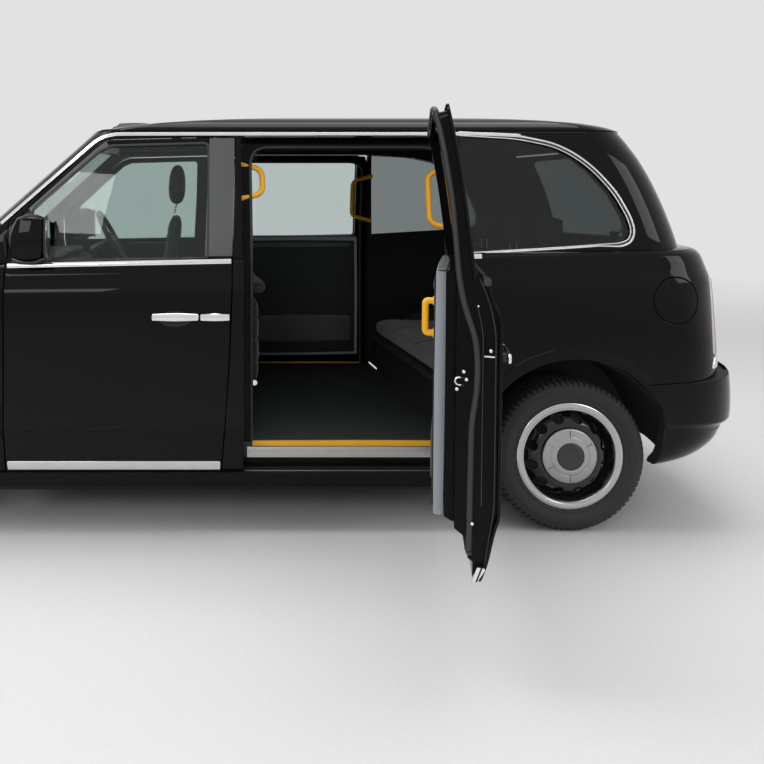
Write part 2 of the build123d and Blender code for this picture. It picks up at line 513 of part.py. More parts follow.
spring = cyl_z(AXLE_X, -535, 48, TYRE_R, DECK_Z - 30.3)
keep("rear_suspension", solid_of(axle + motor + both(stub_r) + both(link) + both(spring)))
exhaust = cyl_x(650, 240, 28, -1120, 1000) + box(-1010, -720, 600, 720, 205, 275)
for x in (-900, 0, 900):
    exhaust += box(x - 15, x + 15, 640, 660, 240, FLOOR_LOW - 0.3)
keep("exhaust", solid_of(exhaust))

os.makedirs("parts", exist_ok=True)
for name, shape in PARTS.items():
    export_step(shape, f"parts/{name}.step")
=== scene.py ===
import bmesh
import bpy
import json
import math
import numpy as np
from mathutils import Matrix, Vector, geometry


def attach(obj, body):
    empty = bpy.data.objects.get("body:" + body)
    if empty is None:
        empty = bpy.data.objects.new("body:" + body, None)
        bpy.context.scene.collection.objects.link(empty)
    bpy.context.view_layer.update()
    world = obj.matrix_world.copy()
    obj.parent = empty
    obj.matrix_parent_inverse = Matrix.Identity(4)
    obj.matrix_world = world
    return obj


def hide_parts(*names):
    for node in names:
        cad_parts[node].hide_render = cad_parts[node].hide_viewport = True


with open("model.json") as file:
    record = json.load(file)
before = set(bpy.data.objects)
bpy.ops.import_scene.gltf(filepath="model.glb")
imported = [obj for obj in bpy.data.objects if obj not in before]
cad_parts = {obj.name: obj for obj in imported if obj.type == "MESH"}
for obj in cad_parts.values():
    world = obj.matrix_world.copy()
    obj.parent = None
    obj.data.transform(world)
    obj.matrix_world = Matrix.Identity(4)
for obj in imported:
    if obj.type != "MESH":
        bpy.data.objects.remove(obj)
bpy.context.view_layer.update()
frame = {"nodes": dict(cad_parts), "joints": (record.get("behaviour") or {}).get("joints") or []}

# City taxi cab seen from its left side, its left rear door standing open. x runs to the rear, y to the right
# and z up. Sizes are in mm until a mesh is made, and most shapes are drawn for the left side and mirrored.
scene = bpy.context.scene
MM = 0.001
DEG = math.pi / 180
AXLE_X = 1492.5         # each axle's distance from the middle
WHEEL_Y = 795           # wheel centre to the middle plane
TYRE_R = 334.0          # also the height of the wheel centres
ARCH_R = 442.0          # opening round a wheel
BOW = 1900              # plan radius of nose and tail
SILL_Z = 268            # lower edge of the doors' skins
PLATE_HALF = 260        # half the width of a number plate
SCREW_Y = 140           # its screws from the middle
SEAT_ROW = (-390, 0, 390)   # middles of the three rear places

# ---------------------------------------------------------------- camera, matched to the photograph
camera = bpy.data.objects.new("camera", bpy.data.cameras.new("camera"))
scene.collection.objects.link(camera)
camera.location = (-0.2565, -4.137, 1.478)
camera.rotation_euler = (90 * DEG, 0, 0)
camera.data.sensor_width = 36
camera.data.lens = 34.54
camera.data.shift_x = 0.2709
camera.data.shift_y = -0.2408
camera.data.clip_end = 100
scene.camera = camera

# ---------------------------------------------------------------- shader groups
CYCLE = 6.283           # radians in one thread
PAINT_DUST, DUST = (0.16, 0.145, 0.125), (0.17, 0.155, 0.135)
BLACK = (0.0028, 0.0028, 0.0031)
LINING = (0.020, 0.021, 0.023)


class Net:
    """A few short words for wiring shader nodes."""

    def __init__(self, tree):
        self.tree = tree

    def node(self, kind, **values):
        n = self.tree.nodes.new(kind)
        for key, value in values.items():
            if hasattr(n, key) and key not in n.inputs:
                setattr(n, key, value)
            else:
                n.inputs[key.replace("_", " ")].default_value = value
        return n

    def join(self, a, b):
        self.tree.links.new(a, b)

    def math(self, op, a, b=0.0, clamp=False):
        n = self.tree.nodes.new("ShaderNodeMath")
        n.operation, n.use_clamp = op, clamp
        for i, v in enumerate((a, b)):
            if isinstance(v, (int, float)):
                n.inputs[i].default_value = v
            else:
                self.join(v, n.inputs[i])
        return n.outputs[0]

    def ramp(self, fac, *stops):
        n = self.tree.nodes.new("ShaderNodeValToRGB")
        while len(n.color_ramp.elements) < len(stops):
            n.color_ramp.elements.new(0.5)
        for e, (at, v) in zip(n.color_ramp.elements, stops):
            e.position = at
            e.color = (v, v, v, 1) if isinstance(v, (int, float)) else (*v, 1)
        self.join(fac, n.inputs[0])
        return n.outputs[0]

    def mix(self, fac, a, b):
        n = self.tree.nodes.new("ShaderNodeMix")
        n.data_type = "RGBA"
        for i, v in ((0, fac), (6, a), (7, b)):
            if isinstance(v, tuple):
                n.inputs[i].default_value = (*v, 1)
            elif isinstance(v, (int, float)):
                n.inputs[i].default_value = v
            else:
                self.join(v, n.inputs[i])
        return n.outputs[2]


def group(name, inputs, outputs):
    tree = bpy.data.node_groups.new(name, "ShaderNodeTree")
    for label, value in inputs.items():
        s = tree.interface.new_socket(label, in_out="INPUT", socket_type="NodeSocketFloat")
        s.default_value = value
    for label in outputs:
        tree.interface.new_socket(label, in_out="OUTPUT", socket_type="NodeSocketFloat")
    net = Net(tree)
    gin, gout = tree.nodes.new("NodeGroupInput"), tree.nodes.new("NodeGroupOutput")
    return net, gin.outputs, gout.inputs


def noise(net, coord, scale, detail=3.0, rough=0.5):
    n = net.node("ShaderNodeTexNoise", Detail=detail, Roughness=rough)
    net.join(coord, n.inputs["Vector"])
    if isinstance(scale, (int, float)):
        n.inputs["Scale"].default_value = scale
    else:
        net.join(scale, n.inputs["Scale"])
    return n.outputs["Fac"]


def grain_group():
    """Fine moulded grain with broad variation: Height and Patch."""
    net, i, o = group("moulded_grain", {"Scale": 900.0, "Patch Scale": 3.0}, ("Height", "Patch"))
    co = net.node("ShaderNodeTexCoord").outputs["Object"]
    net.join(noise(net, co, i["Scale"], 4), o["Height"])
    net.join(noise(net, co, i["Patch Scale"], 2), o["Patch"])


def dust_group():
    """Road film that thickens towards the ground: Mask."""
    net, i, o = group("road_film", {"Top": 0.9, "Amount": 0.5, "Scale": 5.0}, ("Mask",))
    co = net.node("ShaderNodeTexCoord").outputs["Object"]
    sep = net.node("ShaderNodeSeparateXYZ")
    net.join(co, sep.inputs[0])
    low = net.math("SUBTRACT", 1.0, net.math("DIVIDE", sep.outputs["Z"], i["Top"]), True)
    low = net.math("POWER", low, 2.0)
    speck = net.math("ADD", noise(net, co, i["Scale"], 6, 0.65), 0.25)
    net.join(net.math("MULTIPLY", net.math("MULTIPLY", low, speck), i["Amount"], True), o["Mask"])


def brushed_group():
    """Long fine lines along X, as on drawn metal: Height and Streak."""
    net, i, o = group("drawn_lines", {"Across": 700.0, "Along": 6.0}, ("Height", "Streak"))
    co = net.node("ShaderNodeTexCoord").outputs["Object"]
    scale = net.node("ShaderNodeCombineXYZ")
    for k, s in zip("XYZ", ("Along", "Across", "Across")):
        net.join(i[s], scale.inputs[k])
    vec = net.node("ShaderNodeVectorMath", operation="MULTIPLY")
    net.join(co, vec.inputs[0])
    net.join(scale.outputs[0], vec.inputs[1])
    fine = noise(net, vec.outputs[0], 1.0, 2)
    net.join(fine, o["Height"])
    net.join(noise(net, co, 14.0, 2), o["Streak"])


def weave_group():
    """Over-and-under threads: Height and Thread."""
    net, i, o = group("cloth_weave", {"Threads": 420.0}, ("Height", "Thread"))
    co = net.node("ShaderNodeTexCoord").outputs["Object"]
    sep = net.node("ShaderNodeSeparateXYZ")
    net.join(co, sep.inputs[0])
    along = net.math("ADD", sep.outputs["X"], sep.outputs["Z"])
    a, b = (net.math("SINE", net.math("MULTIPLY", net.math("MULTIPLY", way, i["Threads"]), CYCLE))
            for way in (sep.outputs["Y"], along))
    net.join(net.math("MULTIPLY", a, b), o["Height"])
    net.join(noise(net, co, 55.0, 4), o["Thread"])


grain_group(), dust_group(), brushed_group(), weave_group()


def use(net, name, **values):
    n = net.tree.nodes.new("ShaderNodeGroup")
    n.node_tree = bpy.data.node_groups[name]
    for key, value in values.items():
        n.inputs[key.replace("_", " ")].default_value = value
    return n.outputs


def material(name, **values):
    m = bpy.data.materials.new(name)
    m.use_nodes = True
    net = Net(m.node_tree)
    p = m.node_tree.nodes["Principled BSDF"]
    for key, value in values.items():
        key = key.replace("_", " ")
        if isinstance(value, tuple):
            value = (*value, 1)
        p.inputs[key].default_value = value
    return m, net, p


def bump(net, p, height, strength, distance):
    b = net.node("ShaderNodeBump", Strength=strength, Distance=distance)
    net.join(height, b.inputs["Height"])
    net.join(b.outputs[0], p.inputs["Normal"])


def paint(name, colour, rough=0.35, coat=1.0, film=0.07, index=1.24):
    """Clear-coated paint with faint ripple and road film low down."""
    m, net, p = material(name, Roughness=rough, Coat_Weight=coat, Coat_Roughness=0.02, Coat_IOR=index,
                         Specular_IOR_Level=0.0)
    dust = use(net, "road_film", Amount=film)["Mask"]
    net.join(net.mix(dust, colour, PAINT_DUST), p.inputs["Base Color"])
    g = use(net, "moulded_grain", Scale=28.0, Patch_Scale=2.0)
    net.join(net.math("ADD", rough, net.math("MULTIPLY", dust, 0.5)), p.inputs["Roughness"])
    bump(net, p, g["Height"], 0.04, 0.0006)
    return m


CAB_MIDDLE = (0.3, 0.0, 1.05)   # metres


def lined(name, colour, lining):
    """Paint on faces that look away from the cab's middle, lining on those that look in."""
    m, net, p = material(name, Roughness=0.5, Coat_Weight=0.9, Coat_Roughness=0.05, Coat_IOR=1.24,
                         Specular_IOR_Level=0.0)
    co = net.node("ShaderNodeTexCoord")
    away = net.node("ShaderNodeVectorMath", operation="SUBTRACT")
    side = net.node("ShaderNodeVectorMath", operation="DOT_PRODUCT")
    net.join(co.outputs["Object"], away.inputs[0])
    away.inputs[1].default_value = CAB_MIDDLE
    net.join(away.outputs["Vector"], side.inputs[0])
    net.join(co.outputs["Normal"], side.inputs[1])
    out = net.math("GREATER_THAN", side.outputs["Value"], 0.0)
    g = use(net, "moulded_grain", Scale=500.0)
    low = tuple(c * 0.8 for c in lining)
    net.join(net.mix(out, net.mix(g["Patch"], low, lining), colour), p.inputs["Base Color"])
    bump(net, p, net.math("MULTIPLY", g["Height"], net.math("SUBTRACT", 1.0, out)), 0.2, 0.0003)
    return m


def plastic(name, colour, rough=0.5, grain=900.0, depth=0.0003, spread=0.25, film=0.25):
    """Moulded plastic: fine grain, patchy sheen and a little dust."""
    m, net, p = material(name, Roughness=rough)
    g = use(net, "moulded_grain", Scale=grain)
    dust = use(net, "road_film", Amount=film)["Mask"]
    low = tuple(c * (1 - spread) for c in colour)
    high = tuple(min(1, c * (1 + spread)) for c in colour)
    net.join(net.mix(dust, net.mix(g["Patch"], low, high), DUST), p.inputs["Base Color"])
    net.join(net.math("ADD", net.math("MULTIPLY", g["Patch"], 0.16), rough - 0.08), p.inputs["Roughness"])
    bump(net, p, g["Height"], 0.35, depth)
    return m


def metal(name, colour, rough=0.3, across=700.0, along=6.0, depth=0.0001):
    """Bare or polished metal with fine drawn lines; equal across and along give an even surface."""
    m, net, p = material(name, Metallic=1.0)
    g = use(net, "drawn_lines", Across=across, Along=along)
    low = tuple(c * 0.86 for c in colour)
    net.join(net.mix(g["Streak"], low, colour), p.inputs["Base Color"])
    net.join(net.math("ADD", net.math("MULTIPLY", g["Streak"], 0.12), rough - 0.05), p.inputs["Roughness"])
    bump(net, p, g["Height"], 0.25, depth)
    return m


def fabric(name, colour, light):
    """Woven cloth whose threads vary between two colours."""
    m, net, p = material(name, Roughness=0.9, Sheen_Weight=0.25, Sheen_Roughness=0.5)
    g = use(net, "cloth_weave")
    net.join(net.mix(net.ramp(g["Thread"], (0.35, 0.0), (0.7, 1.0)), colour, light), p.inputs["Base Color"])
    bump(net, p, g["Height"], 0.5, 0.0006)
    return m


def vinyl(name, colour, speck):
    """Sheet flooring with fine pale flecks."""
    m, net, p = material(name, Roughness=0.55)
    co = net.node("ShaderNodeTexCoord").outputs["Object"]
    g = use(net, "moulded_grain", Scale=1200.0, Patch_Scale=4.0)
    fleck = net.ramp(noise(net, co, 420.0, 1), (0.60, 0.0), (0.66, 1.0))
    low = tuple(c * 0.8 for c in colour)
    net.join(net.mix(fleck, net.mix(g["Patch"], low, colour), speck), p.inputs["Base Color"])
    net.join(net.math("ADD", net.math("MULTIPLY", g["Patch"], 0.2), 0.45), p.inputs["Roughness"])
    bump(net, p, g["Height"], 0.3, 0.0003)
    return m


def glass(name, tint, film=0.06):
    """Clear pane that lets the lamps' light through to the cabin."""
    m, net, p = material(name, Roughness=0.0, IOR=1.36, Transmission_Weight=1.0)
    g = use(net, "moulded_grain", Scale=4.0)
    low = tuple(c * 0.94 for c in tint)
    net.join(net.mix(g["Patch"], low, tint), p.inputs["Base Color"])
    net.join(net.math("MULTIPLY", g["Height"], film * 0.2), p.inputs["Roughness"])
    out = m.node_tree.nodes["Material Output"]
    clear = net.node("ShaderNodeBsdfTransparent")
    clear.inputs[0].default_value = (*tint, 1)
    path = net.node("ShaderNodeLightPath")
    mixer = net.node("ShaderNodeMixShader")
    net.join(path.outputs["Is Shadow Ray"], mixer.inputs[0])
    net.join(p.outputs[0], mixer.inputs[1])
    net.join(clear.outputs[0], mixer.inputs[2])
    net.join(mixer.outputs[0], out.inputs[0])
    return m


def lens(name, colour, rough=0.05):
    """Coloured lamp lens, solid with a faint moulded pattern."""
    m, net, p = material(name, Roughness=rough, IOR=1.49, Coat_Weight=0.6, Coat_Roughness=0.02)
    g = use(net, "moulded_grain", Scale=260.0, Patch_Scale=9.0)
    low = tuple(c * 0.6 for c in colour)
    net.join(net.mix(g["Patch"], low, colour), p.inputs["Base Color"])
    bump(net, p, g["Height"], 0.12, 0.0004)
    return m


MAT = {
    "body_paint": paint("gloss_black_paint", BLACK),
    "glazing": glass("tinted_glass", (0.62, 0.71, 0.69)),
    "dark_glazing": glass("privacy_glass", (0.24, 0.27, 0.27)),
    "black_plastic": plastic("black_moulding", (0.018, 0.018, 0.019), 0.55),
    "grey_plastic": plastic("grey_trim", (0.085, 0.088, 0.094), 0.6),
    "bright_trim": metal("bright_trim", (0.86, 0.86, 0.85), 0.13, depth=0.00002),
    "aluminium": metal("ribbed_aluminium", (0.62, 0.62, 0.60), 0.34),
    "yellow_plastic": plastic("yellow_grip", (0.85, 0.42, 0.015), 0.42, spread=0.12, film=0.12),
    "silver_trim": metal("polished_ring", (0.50, 0.50, 0.50), 0.22, 400.0, 400.0, 0.00003),
    "silver_paint": metal("silver_paint", (0.40, 0.40, 0.40), 0.34, 900.0, 900.0, 0.00003),
    "pale_trim": plastic("pale_door_trim", (0.27, 0.29, 0.33), 0.55, 1100.0, 0.0002, 0.1, 0.06),
    "shut_face": paint("shut_face_black", (0.0035, 0.0035, 0.0038), 0.3, 0.6, 0.06),
    "rubber": plastic("door_rubber", (0.02, 0.02, 0.021), 0.5, 500.0, 0.0001, 0.1, 0.2),
    "mirror_glass": metal("mirror_glass", (0.75, 0.78, 0.80), 0.03, 30.0, 30.0, 0.000002),
    "satin_grey": plastic("satin_grey_trim", (0.075, 0.077, 0.08), 0.32, 1400.0, 0.0001, 0.15),
    "recess_black": plastic("recess_black", (0.004, 0.004, 0.004), 0.7),
    "lamp_clear": lens("clear_lamp", (0.62, 0.64, 0.66)),
    "lamp_red": lens("red_lamp", (0.34, 0.004, 0.006)),
    "lamp_core": lens("lamp_core", (0.12, 0.004, 0.005), 0.12),
    "pale_lens": lens("pale_lens", (0.52, 0.53, 0.55)),
    "amber_lens": lens("amber_lens", (0.50, 0.14, 0.01)),
    "sign_lens": lens("sign_lens", (0.75, 0.48, 0.10), 0.3),
    "tyre": plastic("tyre_rubber", (0.013, 0.013, 0.013), 0.75, 600.0, 0.0004, 0.3, 0.07),
    "wheel_steel": paint("wheel_black_steel", (0.006, 0.006, 0.0065), 0.4, 0.9, 0.1, 1.5),
    "seat_fabric": fabric("seat_cloth", (0.012, 0.014, 0.018), (0.030, 0.034, 0.042)),
    "bare_steel": metal("chassis_steel", (0.13, 0.125, 0.12), 0.55, 200.0, 40.0),
    "cast_block": metal("cast_metal", (0.30, 0.30, 0.30), 0.5, 300.0, 300.0),
    "lined_shell": lined("lined_shell", BLACK, LINING),
    # painted shade: the roof's lining is a darker grey than the pale headlining, for the shade inside the cab
    "lined_roof": lined("lined_roof", BLACK, (0.075, 0.076, 0.078)),
    "cabin_lining": plastic("cabin_lining", LINING, 0.7, 700.0, 0.0004, 0.15, 0.0),
    "floor_vinyl": vinyl("speckled_floor", (0.020, 0.022, 0.024), (0.075, 0.08, 0.085)),
    "clear_cover": glass("lamp_cover", (0.93, 0.94, 0.94), 0.02),
    "lamp_bowl": metal("lamp_bowl", (0.70, 0.71, 0.72), 0.16, 60.0, 60.0, 0.00002),
    "plate_white": plastic("white_plate", (0.62, 0.62, 0.60), 0.35, 300.0, 0.00005, 0.04, 0.05),
    "plate_yellow": plastic("yellow_plate", (0.66, 0.50, 0.03), 0.35, 300.0, 0.00005, 0.04, 0.05),
}
NODE_FINISH = {
    "lined_shell": ["body_shell"], "lined_roof": ["roof_panel"], "floor_vinyl": ["floor_pan", "luggage_platform"],
    "cabin_lining": ["partition", "dashboard"], "dark_glazing": ["quarter_windows", "rear_window"],
    "shut_face": ["front_left_door", "front_right_door", "front_wings", "bonnet", "tailgate"],
    "recess_black": ["wheel_liners", "front_bumper", "rear_bumper"],
}
for node in frame["nodes"].values():
    for place in node.material_slots:
        name = place.material.name.split(".")[0] if place.material else ""
        place.material = MAT.get(name, MAT["black_plastic"])
for finish, names in NODE_FINISH.items():
    for name in names:
        for place in frame["nodes"][name].material_slots:
            place.material = MAT[finish]

# ---------------------------------------------------------------- body surface
# Levels of each form: height, half width, front and rear ends, and rise per mm to the rear.
LOWER = [
    (255, 877, -2350, 2330, 0), (320, 900, -2368, 2350, 0), (436, 925, -2384, 2375, 0),
    (480, 937, -2390, 2392, 0), (1066, 937, -2385, 2362, 0.012), (1139, 913, -2370, 2340, 0.016),
    (1190, 897, -2350, 2315, 0.02), (1206, 886, -2335, 2290, 0.02), (1211, 868, -2320, 2255, 0.02),
]
NOSE = [
    (255, 877, -2340, 2330, 0), (320, 900, -2362, 2350, 0), (436, 925, -2384, 2375, 0),
    (480, 937, -2390, 2392, 0), (1054, 937, -2388, 2362, 0.142), (1123, 913, -2368, 2340, 0.15),
    (1170, 897, -2350, 2315, 0.165), (1186, 886, -2335, 2290, 0.17), (1196, 820, -2280, 2200, 0.172),
    (1215, 600, -2150, 2000, 0.175), (1222, 300, -1900, 1800, 0.176),
]
GREEN = [
    (1100, 875, -1507, 2265, 0), (1301, 849, -1277, 2212, 0), (1525, 818, -1021, 2128, 0),
    (1662, 793, -864, 2057, 0), (1786, 766, -722, 1968, 0),
]
ROOF = [
    (1791, 765, -716, 1972, 0), (1812, 752, -600, 1915, 0), (1832, 728, -430, 1800, 0),
    (1848, 690, -180, 1600, 0), (1860, 620, 100, 1350, 0), (1868, 450, 350, 1100, 0),
    (1871, 200, 540, 900, 0),
]


def monotone(xs, ys):
    """Smooth curve through points that never overshoots them."""
    xs, ys = np.array(xs, float), np.array(ys, float)
    h = np.diff(xs)
    d = np.diff(ys) / h
    m = np.zeros(len(xs))
    m[0], m[-1] = d[0], d[-1]
    for i in range(1, len(xs) - 1):
        if d[i - 1] * d[i] > 0:
            a, b = 2 * h[i] + h[i - 1], h[i] + 2 * h[i - 1]
            m[i] = (a + b) / (a / d[i - 1] + b / d[i])

    def f(x):
        i = np.clip(np.searchsorted(xs, x) - 1, 0, len(h) - 1)
        t = (x - xs[i]) / h[i]
        return ((2 * t**3 - 3 * t**2 + 1) * ys[i] + (t**3 - 2 * t**2 + t) * h[i] * m[i]
                + (3 * t**2 - 2 * t**3) * ys[i + 1] + (t**3 - t**2) * h[i] * m[i + 1])
    return f


class Form:
    """Stacked plan outlines: bowed ends, rounded corners and straight sides. v is the way up the section."""

    def __init__(self, levels, x_ref=0.0, front=(BOW, 380), rear=(BOW, 300)):
        z, w, xf, xr, s = (np.array(c, float) for c in zip(*levels))
        v = np.concatenate([[0], np.cumsum(np.hypot(np.diff(z), np.diff(w)))])
        self.z, self.w, self.xf, self.xr, self.s = (monotone(v, c) for c in (z, w, xf, xr, s))
        self.top_v, self.x_ref, self.ends = v[-1], x_ref, {-1: front, 1: rear}

    def corner(self, v, sgn):
        bow, r = self.ends[sgn]
        w, end = self.w(v), (self.xr if sgn > 0 else self.xf)(v)
        r = np.minimum(np.maximum(r, 40.0), w - 20.0)
        cx0 = end - sgn * bow
        cx = cx0 + sgn * np.sqrt((bow - r) ** 2 - (w - r) ** 2)
        return w, r, bow, cx0, cx, np.arcsin((w - r) / (bow - r))

    def round_end(self, v, sgn):
        """Where an end's rounding begins on the side, and its length from there to the centre line."""
        _, r, bow, _, cx, th = self.corner(v, sgn)
        return cx, r * (np.pi / 2 - th) + bow * th

    def at(self, s, v):
        """Left-hand point at s, which is x along the side and arc length round the ends."""
        s = np.asarray(s, float)
        v = v + 0 * s
        x, y = s.copy(), self.w(v)
        for sgn in (-1, 1):
            w, r, bow, cx0, cx, th = self.corner(v, sgn)
            d = sgn * (s - cx)
            turn = r * (np.pi / 2 - th)
            a = np.pi / 2 - np.clip(d, 0, turn) / r
            b = th - (d - turn) / bow
            x = np.where(d > 0, cx + sgn * r * np.cos(a), x)
            y = np.where(d > 0, w - r + r * np.sin(a), y)
            x = np.where(d > turn, cx0 + sgn * bow * np.cos(b), x)
            y = np.where(d > turn, bow * np.sin(b), y)
        return np.stack([x, -y, self.z(v) + (x - self.x_ref) * self.s(v)], -1)

    def half(self, x, v):
        """Half width at x, or less than 0 beyond the ends."""
        y = self.w(v)
        for sgn in (-1, 1):
            w, r, bow, cx0, cx, th = self.corner(v, sgn)
            d, e = sgn * (x - cx), sgn * (x - cx0)
            y = np.where(d > 0, w - r + np.sqrt(np.maximum(r * r - d * d, 0)), y)
            past = np.where(e < bow, np.sqrt(np.maximum(bow**2 - e**2, 0)), bow - e)
            y = np.where(e > bow * np.cos(th), past, y)
        return y

    def end(self, y, v, sgn):
        """x of the front or rear end at y."""
        w, r, bow, cx0, cx, th = self.corner(v, sgn)
        e = np.maximum(np.abs(y) - (w - r), 0)
        return np.where(np.abs(y) < bow * np.sin(th), cx0 + sgn * np.sqrt(bow**2 - y**2),
                        cx + sgn * np.sqrt(np.maximum(r * r - e * e, 0)))

    def solve(self, f):
        """v at which the rising function f crosses 0."""
        lo, hi = 0.0, self.top_v
        for _ in range(30):
            mid = (lo + hi) / 2
            up = f(mid) > 0
            hi, lo = np.where(up, mid, hi), np.where(up, lo, mid)
        return (lo + hi) / 2

    def v_xz(self, x, z):
        return self.solve(lambda v: self.z(v + 0 * x) + (x - self.x_ref) * self.s(v + 0 * x) - z)

    def v_xy(self, x, y):
        return self.solve(lambda v: y - self.half(x, v + 0 * x))

    def v_yz(self, y, z, sgn):
        def over(v):
            return self.z(v + 0 * y) + (self.end(y, v + 0 * y, sgn) - self.x_ref) * self.s(v + 0 * y) - z
        return self.solve(over)

    def side(self, x, z):
        return np.stack([x, -self.half(x, self.v_xz(x, z)), z + 0 * x], -1)

    def top(self, x, y):
        v = self.v_xy(x, np.abs(y))
        return np.stack([x, y, self.z(v) + (x - self.x_ref) * self.s(v)], -1)

    def face(self, y, z, sgn):
        return np.stack([self.end(y, self.v_yz(y, z, sgn), sgn), y, z + 0 * y], -1)

    def v_at(self, x, z):
        """v on the side at one point."""
        return float(self.sv(x=np.array([float(x)]), z=np.array([float(z)]))[0, 1])

    def yz(self, points, sgn=1):
        """End-view (y, z) points as (s, v); y is the half width."""
        points = np.asarray(points, float)
        return self.sv(y=points[:, 0], z=points[:, 1], sgn=sgn)

    def front(self, y, z):
        return self.face(y, z, -1)

    def rear(self, y, z):
        return self.face(y, z, 1)

    def sv(self, x=None, y=None, z=None, sgn=1):
        """(s, v) of the left-hand point with two of its coordinates given; y is the half width."""
        x, y, z = (None if c is None else np.asarray(c, float) for c in (x, y, z))
        if y is None:
            v = self.v_xz(x, z)
        elif x is None:
            v = self.v_yz(y, z, sgn)
        else:
            v = self.v_xy(x, y)
        w, r, bow, cx0, cx, th = self.corner(v, sgn)
        turn = r * (np.pi / 2 - th)
        if x is None:
            far = y < bow * np.sin(th)
            d = np.where(far, turn + bow * (th - np.arcsin(np.clip(y / bow, -1, 1))),
                         r * (np.pi / 2 - np.arcsin(np.clip((y - w + r) / r, -1, 1))))
            return np.stack([cx + sgn * d, v], -1)
        d = sgn * (x - cx)
        far = sgn * (x - cx0) > bow * np.cos(th)
        arc = np.where(far, turn + bow * (th - np.arccos(np.clip(sgn * (x - cx0) / bow, -1, 1))),
                       r * np.arcsin(np.clip(d / r, 0, 1)))
        return np.stack([np.where(d > 0, cx + sgn * arc, x), v], -1)


lower, nose = Form(LOWER), Form(NOSE, -1007)
green, roof = (Form(levels, 0, (2500, 130), (BOW, 250)) for levels in (GREEN, ROOF))
BUMPER = [
    (284, 862, -2000, 2232, 0), (306, 880, -2000, 2290, 0), (344, 903, -2000, 2345, 0), (400, 922, -2000, 2394, 0),
    (468, 930, -2000, 2428, 0), (488, 940, -2000, 2452, 0), (560, 941, -2000, 2457, 0), (680, 940, -2000, 2452, 0),
    (706, 932, -2000, 2436, 0),
]
bumper_form = Form(BUMPER, rear=(BOW, 350))


# ---------------------------------------------------------------- mesh words
def make(name, verts, faces, mat, body="cab", normals=None, smooth=35.0):
    """One finished piece from points in mm; it rides on its body."""
    mesh = bpy.data.meshes.new(name)
    mesh.from_pydata((np.asarray(verts) * MM).tolist(), [], [list(f) for f in faces])
    mesh.materials.append(MAT[mat])
    if normals is None:
        bm = bmesh.new()
        bm.from_mesh(mesh)
        bmesh.ops.remove_doubles(bm, verts=bm.verts, dist=1e-6)
        bmesh.ops.recalc_face_normals(bm, faces=bm.faces)
        bm.to_mesh(mesh)
        bm.free()
    mesh.update()
    mesh.shade_smooth()
    if normals is not None:
        mesh.normals_split_custom_set_from_vertices(np.asarray(normals).tolist())
    elif smooth < 180:
        mesh.set_sharp_from_angle(angle=smooth * DEG)
    obj = bpy.data.objects.new(name, mesh)
    scene.collection.objects.link(obj)
    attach(obj, body)
    return obj


STRAIGHT = 1.55         # half a corner's angle above which it isn't rounded
ARC_STEP = 7            # mm between points of a rounded corner


def unit(rows):
    return rows / np.maximum(np.linalg.norm(rows, axis=1), 1e-9)[:, None]


def rounded(points, radii, step=18.0):
    """Closed outline with rounded corners and evenly divided edges; one radius or one for each corner."""
    n, out = len(points), []
    if isinstance(radii, (int, float)):
        radii = [radii] * n
    for i in range(n):
        a, b, c = (np.array(points[j % n], float) for j in (i - 1, i, i + 1))
        u, v = (a - b) / np.linalg.norm(a - b), (c - b) / np.linalg.norm(c - b)
        half = math.acos(float(np.clip(u @ v, -1, 1))) / 2
        r = radii[i]
        if r < 0.5 or half > STRAIGHT:
            out.append(b)
            continue
        cut = min(r / math.tan(half), 0.49 * min(np.linalg.norm(a - b), np.linalg.norm(c - b)))
        r = cut * math.tan(half)
        mid = (u + v) / np.linalg.norm(u + v)
        centre = b + mid * r / math.sin(half)
        p, q = b + u * cut - centre, b + v * cut - centre
        turn = math.pi - 2 * half
        count = max(3, int(r * turn / ARC_STEP) + 1)
        for k in range(count + 1):
            w = k / count
            d = p * math.sin((1 - w) * turn) + q * math.sin(w * turn)
            out.append(centre + d / math.sin(turn))
    dense = []
    for i, a in enumerate(out):
        b = out[(i + 1) % len(out)]
        k = max(1, int(np.linalg.norm(b - a) / step))
        dense += [a + (b - a) * j / k for j in range(k)]
    return np.array(dense)


def turn_of(loop):
    """Twice an outline's area, above 0 where it runs anticlockwise."""
    x, y = loop[:, 0], loop[:, 1]
    return np.sum(x * np.roll(y, -1) - np.roll(x, -1) * y)


def shift(loop, by):
    """Moves an outline to its left by a distance."""
    e = np.roll(loop, -1, 0) - loop
    n = unit(np.stack([-e[:, 1], e[:, 0]], -1))
    m = np.roll(n, 1, 0)
    k = 1 + np.sum(n * m, 1)
    return loop + by * (n + m) / np.maximum(k, 0.35)[:, None]


def inset(loop, by):
    """Moves an outline inwards by a distance, whichever way it runs."""
    return shift(loop, by if turn_of(loop) > 0 else -by)


def inside(points, loops):
    """Which points lie inside an outline and outside its holes."""
    hit = np.zeros(len(points), bool)
    for loop in loops:
        a, b = loop, np.roll(loop, -1, 0)
        for (ax, ay), (bx, by) in zip(a, b):
            cross = (ay > points[:, 1]) != (by > points[:, 1])
            if ay != by:
                hit ^= cross & (points[:, 0] < (bx - ax) * (points[:, 1] - ay) / (by - ay) + ax)
    return hit


def surface_normal(f, uv):
    """Unit normals by small steps on the surface f."""
    du, dv = np.array([1.5, 0]), np.array([0, 1.5])
    a = f(*(uv + du).T) - f(*(uv - du).T)
    b = f(*(uv + dv).T) - f(*(uv - dv).T)
    n = np.cross(a, b)
    return unit(n)


